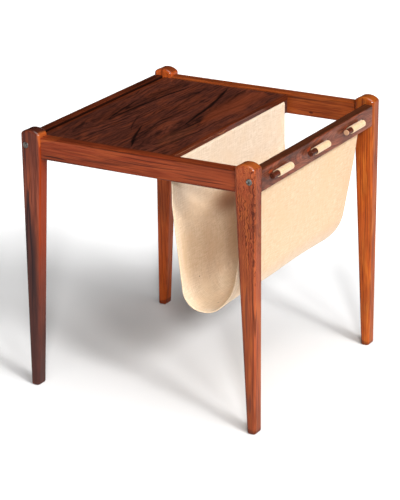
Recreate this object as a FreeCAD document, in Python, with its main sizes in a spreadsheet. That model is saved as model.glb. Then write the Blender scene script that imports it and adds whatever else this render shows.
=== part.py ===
import FreeCAD
import Part
import math
import os
import Sketcher

# Side table with a hanging magazine rack.
# Four plank legs carry two glued long rails and two bolted side rails. A veneered panel fills
# the left of the frame. A canvas sling hangs between a hidden cross rail under the panel's
# edge and the right rail, where three cloth loops come out of slots and are held by pegs.
# +X runs along the front rail to the slotted rail, +Y to the back and +Z up from the floor.
# The origin is on the floor, under the middle of the whole table.

SIZES = {
    # Frame
    "frame_width": 441.0,
    "frame_depth": 461.0,
    "rail_top": 450.0,
    # Legs
    "leg_top": 462.5,
    "leg_width": 37.0,
    "leg_depth": 27.4,
    "leg_crown": 7.5,
    "foot_width": 15.9,
    "foot_inset_x": 0.8,
    "foot_inset_y": 2.6,
    "shoulder_rounding": 6.0,
    "leg_rounding": 5.5,
    "foot_rounding": 3.5,
    # Rails
    "long_rail_depth": 21.3,
    "long_rail_height": 37.5,
    "long_rail_setback": 5.0,
    "side_rail_depth": 17.3,
    "side_rail_height": 38.0,
    "side_rail_setback": 1.4,
    "rail_rounding": 2.5,
    "cross_rail_depth": 16.0,
    "cross_rail_height": 22.0,
    "cross_rail_rounding": 1.5,
    # Hidden dowels
    "dowel_diameter": 8.0,
    "dowel_reach": 19.0,
    "dowel_spacing": 20.0,
    "cross_dowel_reach": 12.0,
    "cross_dowel_spacing": 11.0,
    "side_dowel_reach": 14.0,
    "side_dowel_drop": 31.0,
    # Frame bolts and their barrel nuts
    "bolt_diameter": 6.0,
    "bolt_head_diameter": 11.0,
    "bolt_head_height": 3.0,
    "bolt_head_chamfer": 0.6,
    "bolt_socket_diameter": 4.6,
    "bolt_socket_depth": 2.0,
    "bolt_drop": 15.0,
    "bolt_reach": 34.0,
    "nut_diameter": 10.0,
    "nut_length": 13.0,
    "nut_setback": 24.0,
    # Table panel
    "panel_drop": 3.0,
    "panel_core": 7.4,
    "veneer": 0.8,
    "lipping": 6.0,
    "lipping_rounding": 0.7,
    "panel_side_gap": 3.0,
    "panel_end_gap": 0.4,
    "pocket_mouth": 147.5,
    # Cleats under the panel and their screws
    "cleat": 14.0,
    "cleat_end_gap": 0.5,
    "screw_diameter": 3.2,
    "screw_head_diameter": 6.4,
    "screw_head_height": 2.4,
    "rail_screw_length": 24.0,
    "panel_screw_length": 19.0,
    "screw_inset": 41.0,
    # Canvas sling, its tacks and its loops
    "canvas": 1.2,
    "cloth_gap": 0.2,
    "sling_front_gap": 1.1,
    "sling_back_gap": 13.1,
    "sling_drop": 262.0,
    "tack_lap": 20.0,
    "tack_drop": 10.0,
    "tack_inset": 24.0,
    "tack_diameter": 1.6,
    "tack_length": 10.0,
    "tack_head_diameter": 7.0,
    "tack_head_height": 1.0,
    "loop_width": 46.0,
    "loop_lap": 24.0,
    "loop_shift": 6.0,
    # Slots and pegs
    "slot_length": 66.0,
    "slot_height": 7.0,
    "slot_inset": 37.1,
    "peg_drop": 17.0,
    "peg_diameter": 9.6,
    "peg_length": 66.0,
    "peg_overhang": 18.0,
    "peg_rounding": 0.8,
    # Clearances
    "peg_gap": 0.3,
    "fit_gap": 0.1,
    "end_gap": 0.5,
    "overrun": 2.0,
}

# Places that follow from the sizes
PLACES = {
    "side_outer": "=Sizes.frame_width / 2 - Sizes.side_rail_setback",
    "loop_inner_radius": "=Sizes.peg_diameter / 2 + Sizes.peg_gap",
    "loop_outer_radius": "=loop_inner_radius + Sizes.canvas",
    "loop_reach": "=side_outer + Sizes.cloth_gap + 2 * loop_outer_radius",
    "centre_x": "=(Sizes.frame_width / 2 - loop_reach) / 2",
    "left_x": "=centre_x - Sizes.frame_width / 2",
    "right_x": "=centre_x + Sizes.frame_width / 2",
    "front_y": "=-Sizes.frame_depth / 2",
    "crown_spring": "=Sizes.leg_top - Sizes.leg_crown",
    "crown_radius": "=(Sizes.leg_width ^ 2 / 4 + Sizes.leg_crown ^ 2) / (2 * Sizes.leg_crown)",
    "foot_end_x": "=Sizes.foot_inset_x + Sizes.foot_width",
    "side_rail_bottom": "=Sizes.rail_top - Sizes.side_rail_height",
    "side_rail_length": "=Sizes.frame_depth - 2 * Sizes.leg_depth",
    "side_rail_start": "=front_y + Sizes.leg_depth",
    "left_rail_x": "=left_x + Sizes.side_rail_setback",
    "left_rail_inner": "=left_rail_x + Sizes.side_rail_depth",
    "left_rail_middle": "=left_rail_x + Sizes.side_rail_depth / 2",
    "right_rail_outer": "=right_x - Sizes.side_rail_setback",
    "right_rail_x": "=right_rail_outer - Sizes.side_rail_depth",
    "long_rail_bottom": "=Sizes.rail_top - Sizes.long_rail_height",
    "long_rail_centre_z": "=Sizes.rail_top - Sizes.long_rail_height / 2",
    "long_rail_length": "=Sizes.frame_width - 2 * Sizes.leg_width",
    "long_rail_start": "=left_x + Sizes.leg_width",
    "long_rail_front": "=front_y + Sizes.long_rail_setback",
    "long_rail_middle": "=long_rail_front + Sizes.long_rail_depth / 2",
    "long_rail_inner": "=long_rail_front + Sizes.long_rail_depth",
    "clear_y": "=max(long_rail_inner; side_rail_start)",
    "bolt_z": "=Sizes.rail_top - Sizes.bolt_drop",
    "bolt_length": "=Sizes.leg_depth - Sizes.bolt_head_height + Sizes.bolt_reach",
    "side_dowel_z": "=Sizes.rail_top - Sizes.side_dowel_drop",
    "panel_top": "=Sizes.rail_top - Sizes.panel_drop",
    "core_top": "=panel_top - Sizes.veneer",
    "core_bottom": "=core_top - Sizes.panel_core",
    "panel_bottom": "=core_bottom - Sizes.veneer",
    "panel_height": "=panel_top - panel_bottom",
    "panel_right": "=right_rail_x - Sizes.pocket_mouth",
    "panel_left": "=left_rail_inner + Sizes.panel_side_gap",
    "panel_front": "=clear_y + Sizes.panel_end_gap",
    "panel_length": "=-2 * panel_front",
    "core_left": "=panel_left + Sizes.lipping",
    "core_right": "=panel_right - Sizes.lipping",
    "core_width": "=core_right - core_left",
    "cross_rail_right": "=panel_right - Sizes.canvas - Sizes.cloth_gap",
    "cross_rail_left": "=cross_rail_right - Sizes.cross_rail_depth",
    "cross_rail_middle": "=cross_rail_right - Sizes.cross_rail_depth / 2",
    "cross_rail_top": "=panel_bottom - Sizes.canvas - 2 * Sizes.cloth_gap",
    "cross_rail_bottom": "=cross_rail_top - Sizes.cross_rail_height",
    "cross_rail_centre_z": "=cross_rail_top - Sizes.cross_rail_height / 2",
    "cross_rail_length": "=-2 * long_rail_inner",
    "lap_face": "=cross_rail_left - Sizes.cloth_gap - Sizes.canvas",
    "tack_z": "=cross_rail_top - Sizes.tack_drop",
    "cleat_bottom": "=panel_bottom - Sizes.cleat",
    "cleat_centre_z": "=panel_bottom - Sizes.cleat / 2",
    "long_cleat_x": "=long_rail_start + Sizes.cleat_end_gap",
    "long_cleat_end": "=lap_face - Sizes.tack_head_height - Sizes.cleat_end_gap",
    "long_cleat_length": "=long_cleat_end - long_cleat_x",
    "side_cleat_y": "=side_rail_start + Sizes.cleat_end_gap",
    "side_cleat_length": "=-2 * side_cleat_y",
    "long_screw_x": "=long_cleat_x + Sizes.screw_inset",
    "long_screw_span": "=long_cleat_length - 2 * Sizes.screw_inset",
    "side_screw_y": "=side_cleat_y + Sizes.screw_inset",
    "side_screw_span": "=side_cleat_length - 2 * Sizes.screw_inset",
    "peg_x": "=right_rail_outer + Sizes.cloth_gap + loop_outer_radius",
    "peg_z": "=Sizes.rail_top - Sizes.peg_drop",
    "peg_radius": "=Sizes.peg_diameter / 2",
    "peg_pitch": "=side_rail_length / 2 - Sizes.slot_inset - Sizes.slot_length / 2",
    "sling_front": "=clear_y + Sizes.sling_front_gap",
    "sling_width": "=-clear_y - Sizes.sling_back_gap - sling_front",
    "tack_span": "=sling_width - 2 * Sizes.tack_inset",
    "sling_right_face": "=right_rail_x - Sizes.cloth_gap",
    "sling_right_top": "=peg_z - Sizes.slot_height / 2 - Sizes.cloth_gap",
    "loop_lap_x": "=sling_right_face - 2 * Sizes.canvas - Sizes.cloth_gap",
    "loop_lap_bottom": "=peg_z + Sizes.canvas - Sizes.loop_lap",
}

# Counts, and shares of the lengths that they follow
TACK_COUNT = 9
RAIL_SCREW_SHARES = (0.0, 0.5, 1.0)
PANEL_SCREW_SHARES = (0.25, 0.75)
HEX_SIDES = 6

# The sling between its two tops: corners as shares of the pocket's mouth, from the panel's
# edge, and of the sling's drop, below the rail tops. Each corner is rounded by a share of
# the mouth.
SLING_CORNER_SHARES = ((0.0, 0.33), (0.15, 1.0), (0.505, 1.0), (0.76, 0.866))
SLING_ROUNDING_SHARES = (0.60, 0.23, 0.30, 0.60)
SLING_TOP_ROUNDING_SHARE = 0.12

# Turns that lay an upright rod along an axis
QUARTER_TURN = 90
TURNS = {
    "x": FreeCAD.Rotation(FreeCAD.Vector(0, 1, 0), QUARTER_TURN),
    "-x": FreeCAD.Rotation(FreeCAD.Vector(0, 1, 0), -QUARTER_TURN),
    "y": FreeCAD.Rotation(FreeCAD.Vector(1, 0, 0), -QUARTER_TURN),
    "-y": FreeCAD.Rotation(FreeCAD.Vector(1, 0, 0), QUARTER_TURN),
    "z": FreeCAD.Rotation(),
}
PEG_PLACES = {"front": -1, "middle": 0, "back": 1}
TOLERANCE = 1e-6

doc = FreeCAD.newDocument("MagazineTable")
nodes = {}


def make_sheet(name, cells):
    """Fill a sheet with named cells, one a row."""
    sheet = doc.addObject("Spreadsheet::Sheet", name)
    for row, (alias, content) in enumerate(cells.items(), start=1):
        sheet.set(f"A{row}", alias)
        sheet.set(f"B{row}", str(content))
        sheet.setAlias(f"B{row}", alias)
    doc.recompute()
    return sheet


def number(reference):
    """Give the present value of a cell, named as Sizes.word or Places.word."""
    sheet_name, alias = reference.split(".")
    return float(doc.getObject(sheet_name).get(alias))


def bind(item, **formulas):
    """Tie properties of an object to formulas of the sheets' cells."""
    for name, formula in formulas.items():
        item.setExpression(name, formula)
    return item


def place(item, x="0", y="0", z="0"):
    """Tie an object's position to formulas of the sheets' cells."""
    for letter, formula in zip("xyz", (x, y, z)):
        item.setExpression(f"Placement.Base.{letter}", formula)
    return item


def keep(node, item):
    """Name an object as one sub-part of the table."""
    item.Label = node
    nodes[node] = item
    return item


def attach_sketch(body, plane):
    """Start a sketch on one of a body's own origin planes."""
    sketch = body.newObject("Sketcher::SketchObject", f"{body.Name}_sketch")
    support = next(item for item in body.Origin.OriginFeatures if item.Role == plane)
    sketch.AttachmentSupport = (support, "")
    sketch.MapMode = "FlatFace"
    return sketch


def hold(sketch, kind, elements, reference):
    """Add a sketch dimension tied to a cell."""
    row = sketch.addConstraint(Sketcher.Constraint(kind, *elements, number(reference)))
    sketch.setExpression(f"Constraints[{row}]", reference)


def draw_outline(body, plane, corners, arc_from=None, arc_radius=None):
    """Draw a closed outline through named corners, anticlockwise, with at most one side an arc."""
    sketch = attach_sketch(body, plane)
    points = []
    for corner in corners:
        x, y = (0.0 if reference is None else number(reference) for reference in corner)
        points.append(FreeCAD.Vector(x, y, 0))
    for index, start in enumerate(points):
        end = points[(index + 1) % len(points)]
        side = Part.LineSegment(start, end)
        if index == arc_from:
            radius = number(arc_radius)
            rise = radius - math.sqrt(radius ** 2 - ((end - start).Length / 2) ** 2)
            side = Part.Arc(start, (start + end) / 2 + FreeCAD.Vector(0, rise, 0), end)
        sketch.addGeometry(side)
    for index in range(len(points)):
        ends = (index, 2, (index + 1) % len(points), 1)
        sketch.addConstraint(Sketcher.Constraint("Coincident", *ends))
    for index, corner in enumerate(corners):
        for kind, axis, reference in zip(("DistanceX", "DistanceY"), (-2, -1), corner):
            if reference is None:
                sketch.addConstraint(Sketcher.Constraint("PointOnObject", index, 1, axis))
            else:
                hold(sketch, kind, (-1, 1, index, 1), reference)
    if arc_from is not None:
        hold(sketch, "Radius", (arc_from,), arc_radius)
    return sketch


def pad(body, sketch, length, towards_back=False):
    """Give an outline its thickness."""
    feature = body.newObject("PartDesign::Pad", f"{body.Name}_pad")
    feature.Profile = sketch
    feature.Reversed = towards_back
    bind(feature, Length=length)
    doc.recompute()
    return feature


def round_edges(body, base, wanted, radius):
    """Round the edges of a body that a test picks out."""
    numbered = enumerate(base.Shape.Edges, start=1)
    names = [f"Edge{index}" for index, edge in numbered if wanted(edge)]
    feature = body.newObject("PartDesign::Fillet", f"{body.Name}_rounding")
    feature.Base = (base, names)
    bind(feature, Radius=radius)
    doc.recompute()
    return feature


def runs_along(axis):
    """Make a test for straight edges that lie along an axis."""
    def test(edge):
        span = edge.Vertexes[-1].Point - edge.Vertexes[0].Point
        return span.cross(axis).Length < TOLERANCE * span.Length
    return test


def make_plank(name, width, depth, height, rounding=None, wanted=None):
    """Make a straight piece of wood, optionally with rounded edges."""
    body = doc.addObject("PartDesign::Body", name)
    corners = ((None, None), (width, None), (width, depth), (None, depth))
    blank = pad(body, draw_outline(body, "XY_Plane", corners), height)
    if rounding:
        round_edges(body, blank, wanted, rounding)
    return body


def make_rod(name, axis, radius, length, x, y, z):
    """Make a cylinder that starts at a place and runs along an axis."""
    rod = doc.addObject("Part::Cylinder", name)
    rod.Placement = FreeCAD.Placement(FreeCAD.Vector(), TURNS[axis])
    bind(rod, Radius=radius, Height=length)
    return place(rod, x, y, z)


def make_cone(name, axis, start_radius, end_radius, length, x, y, z):
    """Make a cone that starts at a place and runs along an axis."""
    cone = doc.addObject("Part::Cone", name)
    cone.Placement = FreeCAD.Placement(FreeCAD.Vector(), TURNS[axis])
    bind(cone, Radius1=start_radius, Radius2=end_radius, Height=length)
    return place(cone, x, y, z)


def make_box(name, width, depth, height, x, y, z):
    """Make a box with its low corner at a place."""
    box = doc.addObject("Part::Box", name)
    bind(box, Length=width, Width=depth, Height=height)
    return place(box, x, y, z)


def fuse(name, pieces):
    """Join pieces into one solid."""
    joined = doc.addObject("Part::MultiFuse", name)
    joined.Shapes = pieces
    return joined


def cut(name, base, tools):
    """Take bores and slots out of a piece."""
    result = doc.addObject("Part::Cut", name)
    result.Base = base
    result.Tool = tools[0] if len(tools) == 1 else fuse(f"{name}_tools", tools)
    return result


def mirror(item, across):
    """Mirror a piece to the other side of the table, across its middle plane."""
    copy = doc.addObject("Part::Mirroring", f"{item.Name}_mirrored")
    copy.Source = item
    copy.Normal = FreeCAD.Vector(1, 0, 0) if across == "x" else FreeCAD.Vector(0, 1, 0)
    copy.setExpression("Base.x", "Places.centre_x")
    return copy


def four_corners(item):
    """Repeat a piece at all four corners of the table."""
    right = mirror(item, "x")
    return [item, right, mirror(item, "y"), mirror(right, "y")]


def group(node, pieces):
    """Keep like pieces as one sub-part of separate solids."""
    bundle = doc.addObject("Part::Compound", f"{node}_group")
    bundle.Links = pieces
    return keep(node, bundle)


def make_dowel(name, axis, before, after, x, y, z):
    """Make a dowel across a joint and the bore that takes it."""
    start = {"x": x, "y": y, "z": z}
    start[axis] = f"{start[axis]} - {before}"
    length = f"{before} + {after}"
    dowel = make_rod(name, axis, "Sizes.dowel_diameter / 2", length, **start)
    start[axis] = f"{start[axis]} - Sizes.end_gap"
    bore_radius = "Sizes.dowel_diameter / 2 + Sizes.fit_gap"
    bore_length = f"{length} + 2 * Sizes.end_gap"
    return dowel, make_rod(f"{name}_bore", axis, bore_radius, bore_length, **start)


def make_screw(name, axis, length, x, y, z, gap="0"):
    """Make a countersunk screw from its head's face, or its bore where a gap is given."""
    head_radius = f"Sizes.screw_head_diameter / 2 + {gap}"
    radius = f"Sizes.screw_diameter / 2 + {gap}"
    at = (x, y, z)
    head = make_cone(f"{name}_head", axis, head_radius, radius, "Sizes.screw_head_height", *at)
    return fuse(name, [head, make_rod(f"{name}_shank", axis, radius, length, *at)])


def screw_and_bore(name, axis, length, x, y, z):
    """Make a screw with its own bore."""
    bore_length = f"{length} + Sizes.end_gap"
    bore = make_screw(f"{name}_bore", axis, bore_length, x, y, z, gap="Sizes.fit_gap")
    return make_screw(name, axis, length, x, y, z), bore


def make_bolt():
    """Make the front left frame bolt, its bore, its barrel nut and the nut's bore."""
    x, z = "Places.left_rail_middle", "Places.bolt_z"
    face = "Places.front_y"
    radius, head_radius = "Sizes.bolt_diameter / 2", "Sizes.bolt_head_diameter / 2"
    rim_start = f"{head_radius} - Sizes.bolt_head_chamfer"
    rim_height = "Sizes.bolt_head_chamfer"
    plate_height = "Sizes.bolt_head_height - Sizes.bolt_head_chamfer"
    under_rim = f"{face} + Sizes.bolt_head_chamfer"
    under_head = f"{face} + Sizes.bolt_head_height"
    rim = make_cone("bolt_rim", "y", rim_start, head_radius, rim_height, x, face, z)
    plate = make_rod("bolt_plate", "y", head_radius, plate_height, x, under_rim, z)
    shank = make_rod("bolt_shank", "y", radius, "Places.bolt_length", x, under_head, z)
    socket = doc.addObject("Part::Prism", "bolt_socket")
    socket.Polygon = HEX_SIDES
    socket.Placement = FreeCAD.Placement(FreeCAD.Vector(), TURNS["y"])
    bind(socket, Circumradius="Sizes.bolt_socket_diameter / 2")
    bind(socket, Height="Sizes.bolt_socket_depth + Sizes.overrun")
    place(socket, x, f"{face} - Sizes.overrun", z)
    bolt = cut("frame_bolt", fuse("bolt_blank", [rim, plate, shank]), [socket])

    outside = f"{face} - Sizes.overrun"
    head_bore_length = "Sizes.bolt_head_height + Sizes.overrun"
    bore_length = f"{head_bore_length} + Places.bolt_length + Sizes.end_gap"
    head_bore_radius = f"{head_radius} + Sizes.fit_gap"
    bore_radius = f"{radius} + Sizes.fit_gap"
    head_bore = make_rod("head_bore", "y", head_bore_radius, head_bore_length, x, outside, z)
    shank_bore = make_rod("shank_bore", "y", bore_radius, bore_length, x, outside, z)

    nut_x = f"{x} - Sizes.nut_length / 2"
    nut_y = "Places.side_rail_start + Sizes.nut_setback"
    nut_bore_radius = "Sizes.nut_diameter / 2 + Sizes.fit_gap"
    nut_bore_length = "Sizes.nut_length / 2 + Sizes.side_rail_depth / 2 + Sizes.overrun"
    nut_at = (nut_x, nut_y, z)
    nut_blank = make_rod("nut_blank", "x", "Sizes.nut_diameter / 2", "Sizes.nut_length", *nut_at)
    nut = cut("barrel_nut", nut_blank, [shank_bore])
    nut_bore = make_rod("nut_bore", "x", nut_bore_radius, nut_bore_length, *nut_at)
    return bolt, fuse("bolt_bore", [head_bore, shank_bore]), nut, nut_bore


def make_leg_blank():
    """Make the front left leg: upright outer edge, tapered inner edge and an arched top."""
    body = doc.addObject("PartDesign::Body", "leg_blank")
    corners = (
        ("Sizes.foot_inset_x", None),
        ("Places.foot_end_x", None),
        ("Sizes.leg_width", "Places.side_rail_bottom"),
        ("Sizes.leg_width", "Places.crown_spring"),
        (None, "Places.crown_spring"),
    )
    outline = draw_outline(body, "XZ_Plane", corners, arc_from=3, arc_radius="Places.crown_radius")
    plank = pad(body, outline, "Sizes.leg_depth", towards_back=True)
    lean = ((None, None), ("Sizes.foot_inset_y", None), (None, "Sizes.rail_top"))
    wedge = body.newObject("PartDesign::Pocket", "leg_lean")
    wedge.Profile = draw_outline(body, "YZ_Plane", lean)
    wedge.Reversed = True
    bind(wedge, Length="Sizes.leg_width")
    doc.recompute()

    along_x = runs_along(FreeCAD.Vector(1, 0, 0))
    along_y = runs_along(FreeCAD.Vector(0, 1, 0))

    def is_shoulder(edge):
        return along_y(edge) and edge.BoundBox.Center.z > number("Sizes.rail_top")

    def is_long_or_crown(edge):
        return not along_x(edge) and not along_y(edge)

    def is_foot(edge):
        return all(vertex.Z < TOLERANCE for vertex in edge.Vertexes)

    arched = round_edges(body, wedge, is_shoulder, "Sizes.shoulder_rounding")
    softened = round_edges(body, arched, is_long_or_crown, "Sizes.leg_rounding")
    round_edges(body, softened, is_foot, "Sizes.foot_rounding")
    return place(body, "Places.left_x", "Places.front_y")


def make_frame():
    """Make the legs, the rails and what joins them."""
    along_x = runs_along(FreeCAD.Vector(1, 0, 0))
    along_y = runs_along(FreeCAD.Vector(0, 1, 0))
    long_dowels = []
    for label, sign in (("lower", "-"), ("upper", "+")):
        z = f"Places.long_rail_centre_z {sign} Sizes.dowel_spacing / 2"
        at = ("Places.long_rail_start", "Places.long_rail_middle", z)
        reach = "Sizes.dowel_reach"
        long_dowels.append(make_dowel(f"{label}_dowel", "x", reach, reach, *at))
    at = ("Places.left_rail_middle", "Places.side_rail_start", "Places.side_dowel_z")
    reach = "Sizes.side_dowel_reach"
    side_dowel, side_bore = make_dowel("side_dowel", "y", reach, reach, *at)
    cross_dowels = []
    for label, sign in (("lower", "-"), ("upper", "+")):
        z = f"Places.cross_rail_centre_z {sign} Sizes.cross_dowel_spacing / 2"
        at = ("Places.cross_rail_middle", "Places.long_rail_inner", z)
        reaches = ("Sizes.cross_dowel_reach", "Sizes.dowel_reach")
        cross_dowels.append(make_dowel(f"{label}_cross_dowel", "y", *reaches, *at))
    bolt, bolt_bore, nut, nut_bore = make_bolt()
    long_bores = [bore for dowel, bore in long_dowels]
    cross_bores = [bore for dowel, bore in cross_dowels]

    legs = four_corners(cut("leg", make_leg_blank(), long_bores + [side_bore, bolt_bore]))
    for leg, corner in zip(legs, ("front_left", "front_right", "back_left", "back_right")):
        keep(f"leg_{corner}", leg)

    cleat_screws, cleat_bores, panel_screws, panel_bores = make_long_cleat_screws()
    rail_sizes = ("Places.long_rail_length", "Sizes.long_rail_depth", "Sizes.long_rail_height")
    blank = make_plank("long_rail_blank", *rail_sizes, "Sizes.rail_rounding", along_x)
    place(blank, "Places.long_rail_start", "Places.long_rail_front", "Places.long_rail_bottom")
    far_bores = [mirror(bore, "x") for bore in long_bores]
    front = cut("long_rail", blank, long_bores + far_bores + cross_bores + cleat_bores)
    keep("rail_front", front)
    keep("rail_back", mirror(front, "y"))

    side_screws, side_screw_bores = make_side_cleat_screws()
    side_tools = []
    for tool in (side_bore, bolt_bore, nut_bore):
        side_tools += [tool, mirror(tool, "y")]
    rail_sizes = ("Sizes.side_rail_depth", "Places.side_rail_length", "Sizes.side_rail_height")
    for side in ("left", "right"):
        blank = make_plank(f"{side}_rail_blank", *rail_sizes, "Sizes.rail_rounding", along_y)
        place(blank, f"Places.{side}_rail_x", "Places.side_rail_start", "Places.side_rail_bottom")
        if side == "left":
            tools = side_tools + side_screw_bores
        else:
            tools = [mirror(tool, "x") for tool in side_tools]
            tools += [make_slot(label, step) for label, step in PEG_PLACES.items()]
        keep(f"rail_{side}", cut(f"{side}_rail", blank, tools))

    def is_top(edge):
        above_middle = edge.BoundBox.Center.z > number("Sizes.cross_rail_height") / 2
        return along_y(edge) and above_middle

    rail_sizes = ("Sizes.cross_rail_depth", "Places.cross_rail_length", "Sizes.cross_rail_height")
    blank = make_plank("cross_rail_blank", *rail_sizes, "Sizes.cross_rail_rounding", is_top)
    place(blank, "Places.cross_rail_left", "Places.long_rail_inner", "Places.cross_rail_bottom")
    tacks, tack_bores = make_tacks()
    far_bores = [mirror(bore, "y") for bore in cross_bores]
    keep("cross_rail", cut("cross_rail_bored", blank, cross_bores + far_bores + tack_bores))

    corner_dowels = []
    for dowel, bore in long_dowels:
        corner_dowels += four_corners(dowel)
    group("long_rail_dowels", corner_dowels)
    group("side_rail_dowels", four_corners(side_dowel))
    dowels = [dowel for dowel, bore in cross_dowels]
    group("cross_rail_dowels", dowels + [mirror(dowel, "y") for dowel in dowels])
    group("frame_bolts", four_corners(bolt))
    group("barrel_nuts", four_corners(nut))
    group("sling_tacks", tacks)
    both_ends = cleat_screws + [mirror(screw, "y") for screw in cleat_screws]
    group("cleat_screws", both_ends + side_screws)
    group("panel_screws", panel_screws + [mirror(screw, "y") for screw in panel_screws])

    make_cleats(cleat_bores + panel_bores, side_screw_bores)
    make_panel(panel_bores + [mirror(bore, "y") for bore in panel_bores])
    make_sling(tack_bores)


def make_slot(label, step):
    """Make the cutter of one round-ended slot through the right rail."""
    through = "Sizes.side_rail_depth + 2 * Sizes.overrun"
    x = "Places.right_rail_x - Sizes.overrun"
    radius = "Sizes.slot_height / 2"
    half = "(Sizes.slot_length - Sizes.slot_height) / 2"
    middle = f"{step} * Places.peg_pitch"
    at = (x, f"{middle} - {half}", f"Places.peg_z - {radius}")
    pieces = [make_box(f"slot_{label}", through, f"2 * {half}", "Sizes.slot_height", *at)]
    for sign in ("-", "+"):
        at = (x, f"{middle} {sign} {half}", "Places.peg_z")
        pieces.append(make_rod(f"slot_{label}_end", "x", radius, through, *at))
    return fuse(f"slot_{label}_cutter", pieces)


def make_long_cleat_screws():
    """Make the front cleat's screws into the rail and up into the panel, with their bores."""
    rail_pairs, panel_pairs = [], []
    for share in RAIL_SCREW_SHARES:
        x = f"Places.long_screw_x + {share} * Places.long_screw_span"
        at = (x, "Places.long_rail_inner + Sizes.cleat", "Places.cleat_centre_z")
        rail_pairs.append(screw_and_bore("rail_screw", "-y", "Sizes.rail_screw_length", *at))
    for share in PANEL_SCREW_SHARES:
        x = f"Places.long_screw_x + {share} * Places.long_screw_span"
        at = (x, "Places.long_rail_inner + Sizes.cleat / 2", "Places.cleat_bottom")
        panel_pairs.append(screw_and_bore("panel_screw", "z", "Sizes.panel_screw_length", *at))
    rail_screws, rail_bores = zip(*rail_pairs)
    panel_screws, panel_bores = zip(*panel_pairs)
    return list(rail_screws), list(rail_bores), list(panel_screws), list(panel_bores)


def make_side_cleat_screws():
    """Make the left cleat's screws into the rail, with their bores."""
    pairs = []
    for share in RAIL_SCREW_SHARES:
        y = f"Places.side_screw_y + {share} * Places.side_screw_span"
        at = ("Places.left_rail_inner + Sizes.cleat", y, "Places.cleat_centre_z")
        pairs.append(screw_and_bore("side_screw", "-x", "Sizes.rail_screw_length", *at))
    screws, bores = zip(*pairs)
    return list(screws), list(bores)


def make_cleats(long_bores, side_bores):
    """Make the three strips under the panel."""
    blank = make_plank("long_cleat_blank", "Places.long_cleat_length", "Sizes.cleat", "Sizes.cleat")
    place(blank, "Places.long_cleat_x", "Places.long_rail_inner", "Places.cleat_bottom")
    front = cut("long_cleat", blank, long_bores)
    keep("cleat_front", front)
    keep("cleat_back", mirror(front, "y"))
    blank = make_plank("side_cleat_blank", "Sizes.cleat", "Places.side_cleat_length", "Sizes.cleat")
    place(blank, "Places.left_rail_inner", "Places.side_cleat_y", "Places.cleat_bottom")
    keep("cleat_left", cut("side_cleat", blank, side_bores))


def make_panel(screw_bores):
    """Make the panel: a core, a veneer on both faces and a solid lipping on both sides."""
    layers = {
        "panel_core": ("Sizes.panel_core", "Places.core_bottom"),
        "panel_veneer_top": ("Sizes.veneer", "Places.core_top"),
        "panel_veneer_underside": ("Sizes.veneer", "Places.panel_bottom"),
    }
    for node, (height, z) in layers.items():
        layer = make_plank(f"{node}_blank", "Places.core_width", "Places.panel_length", height)
        place(layer, "Places.core_left", "Places.panel_front", z)
        whole = node == "panel_veneer_top"
        keep(node, layer if whole else cut(f"{node}_bored", layer, screw_bores))
    along_y = runs_along(FreeCAD.Vector(0, 1, 0))
    for side, x in (("left", "Places.panel_left"), ("right", "Places.core_right")):
        outer = 0.0 if side == "left" else number("Sizes.lipping")

        def is_outer(edge):
            return along_y(edge) and math.isclose(edge.BoundBox.Center.x, outer, abs_tol=TOLERANCE)

        strip_sizes = ("Sizes.lipping", "Places.panel_length", "Places.panel_height")
        strip = make_plank(f"{side}_lipping", *strip_sizes, "Sizes.lipping_rounding", is_outer)
        keep(f"panel_lipping_{side}", place(strip, x, "Places.panel_front", "Places.panel_bottom"))


def make_tacks():
    """Make the tacks that hold the sling's lap on the cross rail, with their bores."""
    tacks, bores = [], []
    radius = "Sizes.tack_diameter / 2"
    head = ("Sizes.tack_head_diameter / 2", "Sizes.tack_head_height")
    for index in range(TACK_COUNT):
        share = index / (TACK_COUNT - 1)
        y = f"Places.sling_front + Sizes.tack_inset + {share} * Places.tack_span"
        at = ("Places.lap_face", y, "Places.tack_z")
        shank = make_rod("tack_shank", "x", radius, "Sizes.tack_length", *at)
        dome = make_cone("tack_head", "-x", head[0], radius, head[1], *at)
        tacks.append(fuse("tack", [shank, dome]))
        bore = (f"{radius} + Sizes.fit_gap", "Sizes.tack_length + Sizes.overrun + Sizes.end_gap")
        outside = f"{at[0]} - Sizes.overrun"
        bores.append(make_rod("tack_bore", "x", *bore, outside, *at[1:]))
    return tacks, bores


def sling_route():
    """Give the sling's line in the XZ plane: its corners and the rounding at each."""
    half = number("Sizes.canvas") / 2
    lap_x = number("Places.lap_face") + half
    fold_z = number("Places.cross_rail_top") + number("Sizes.cloth_gap") + half
    left_x = number("Places.panel_right") - half
    right_x = number("Places.sling_right_face") - half
    span = right_x - left_x
    mouth = number("Sizes.pocket_mouth")
    fold = number("Sizes.cross_rail_rounding") + number("Sizes.cloth_gap") + half
    corners = [
        (lap_x, number("Places.cross_rail_top") - number("Sizes.tack_lap")),
        (lap_x, fold_z),
        (left_x, fold_z),
    ]
    roundings = [None, fold, fold]
    for (across, down), rounding in zip(SLING_CORNER_SHARES, SLING_ROUNDING_SHARES):
        z = number("Sizes.rail_top") - down * number("Sizes.sling_drop")
        corners.append((left_x + across * span, z))
        roundings.append(rounding * mouth)
    corners.append((right_x, number("Places.loop_lap_bottom") - number("Sizes.canvas")))
    roundings.append(SLING_TOP_ROUNDING_SHARE * mouth)
    corners.append((right_x, number("Places.sling_right_top")))
    roundings.append(None)
    return [FreeCAD.Vector(x, 0, z) for x, z in corners], roundings


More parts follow.
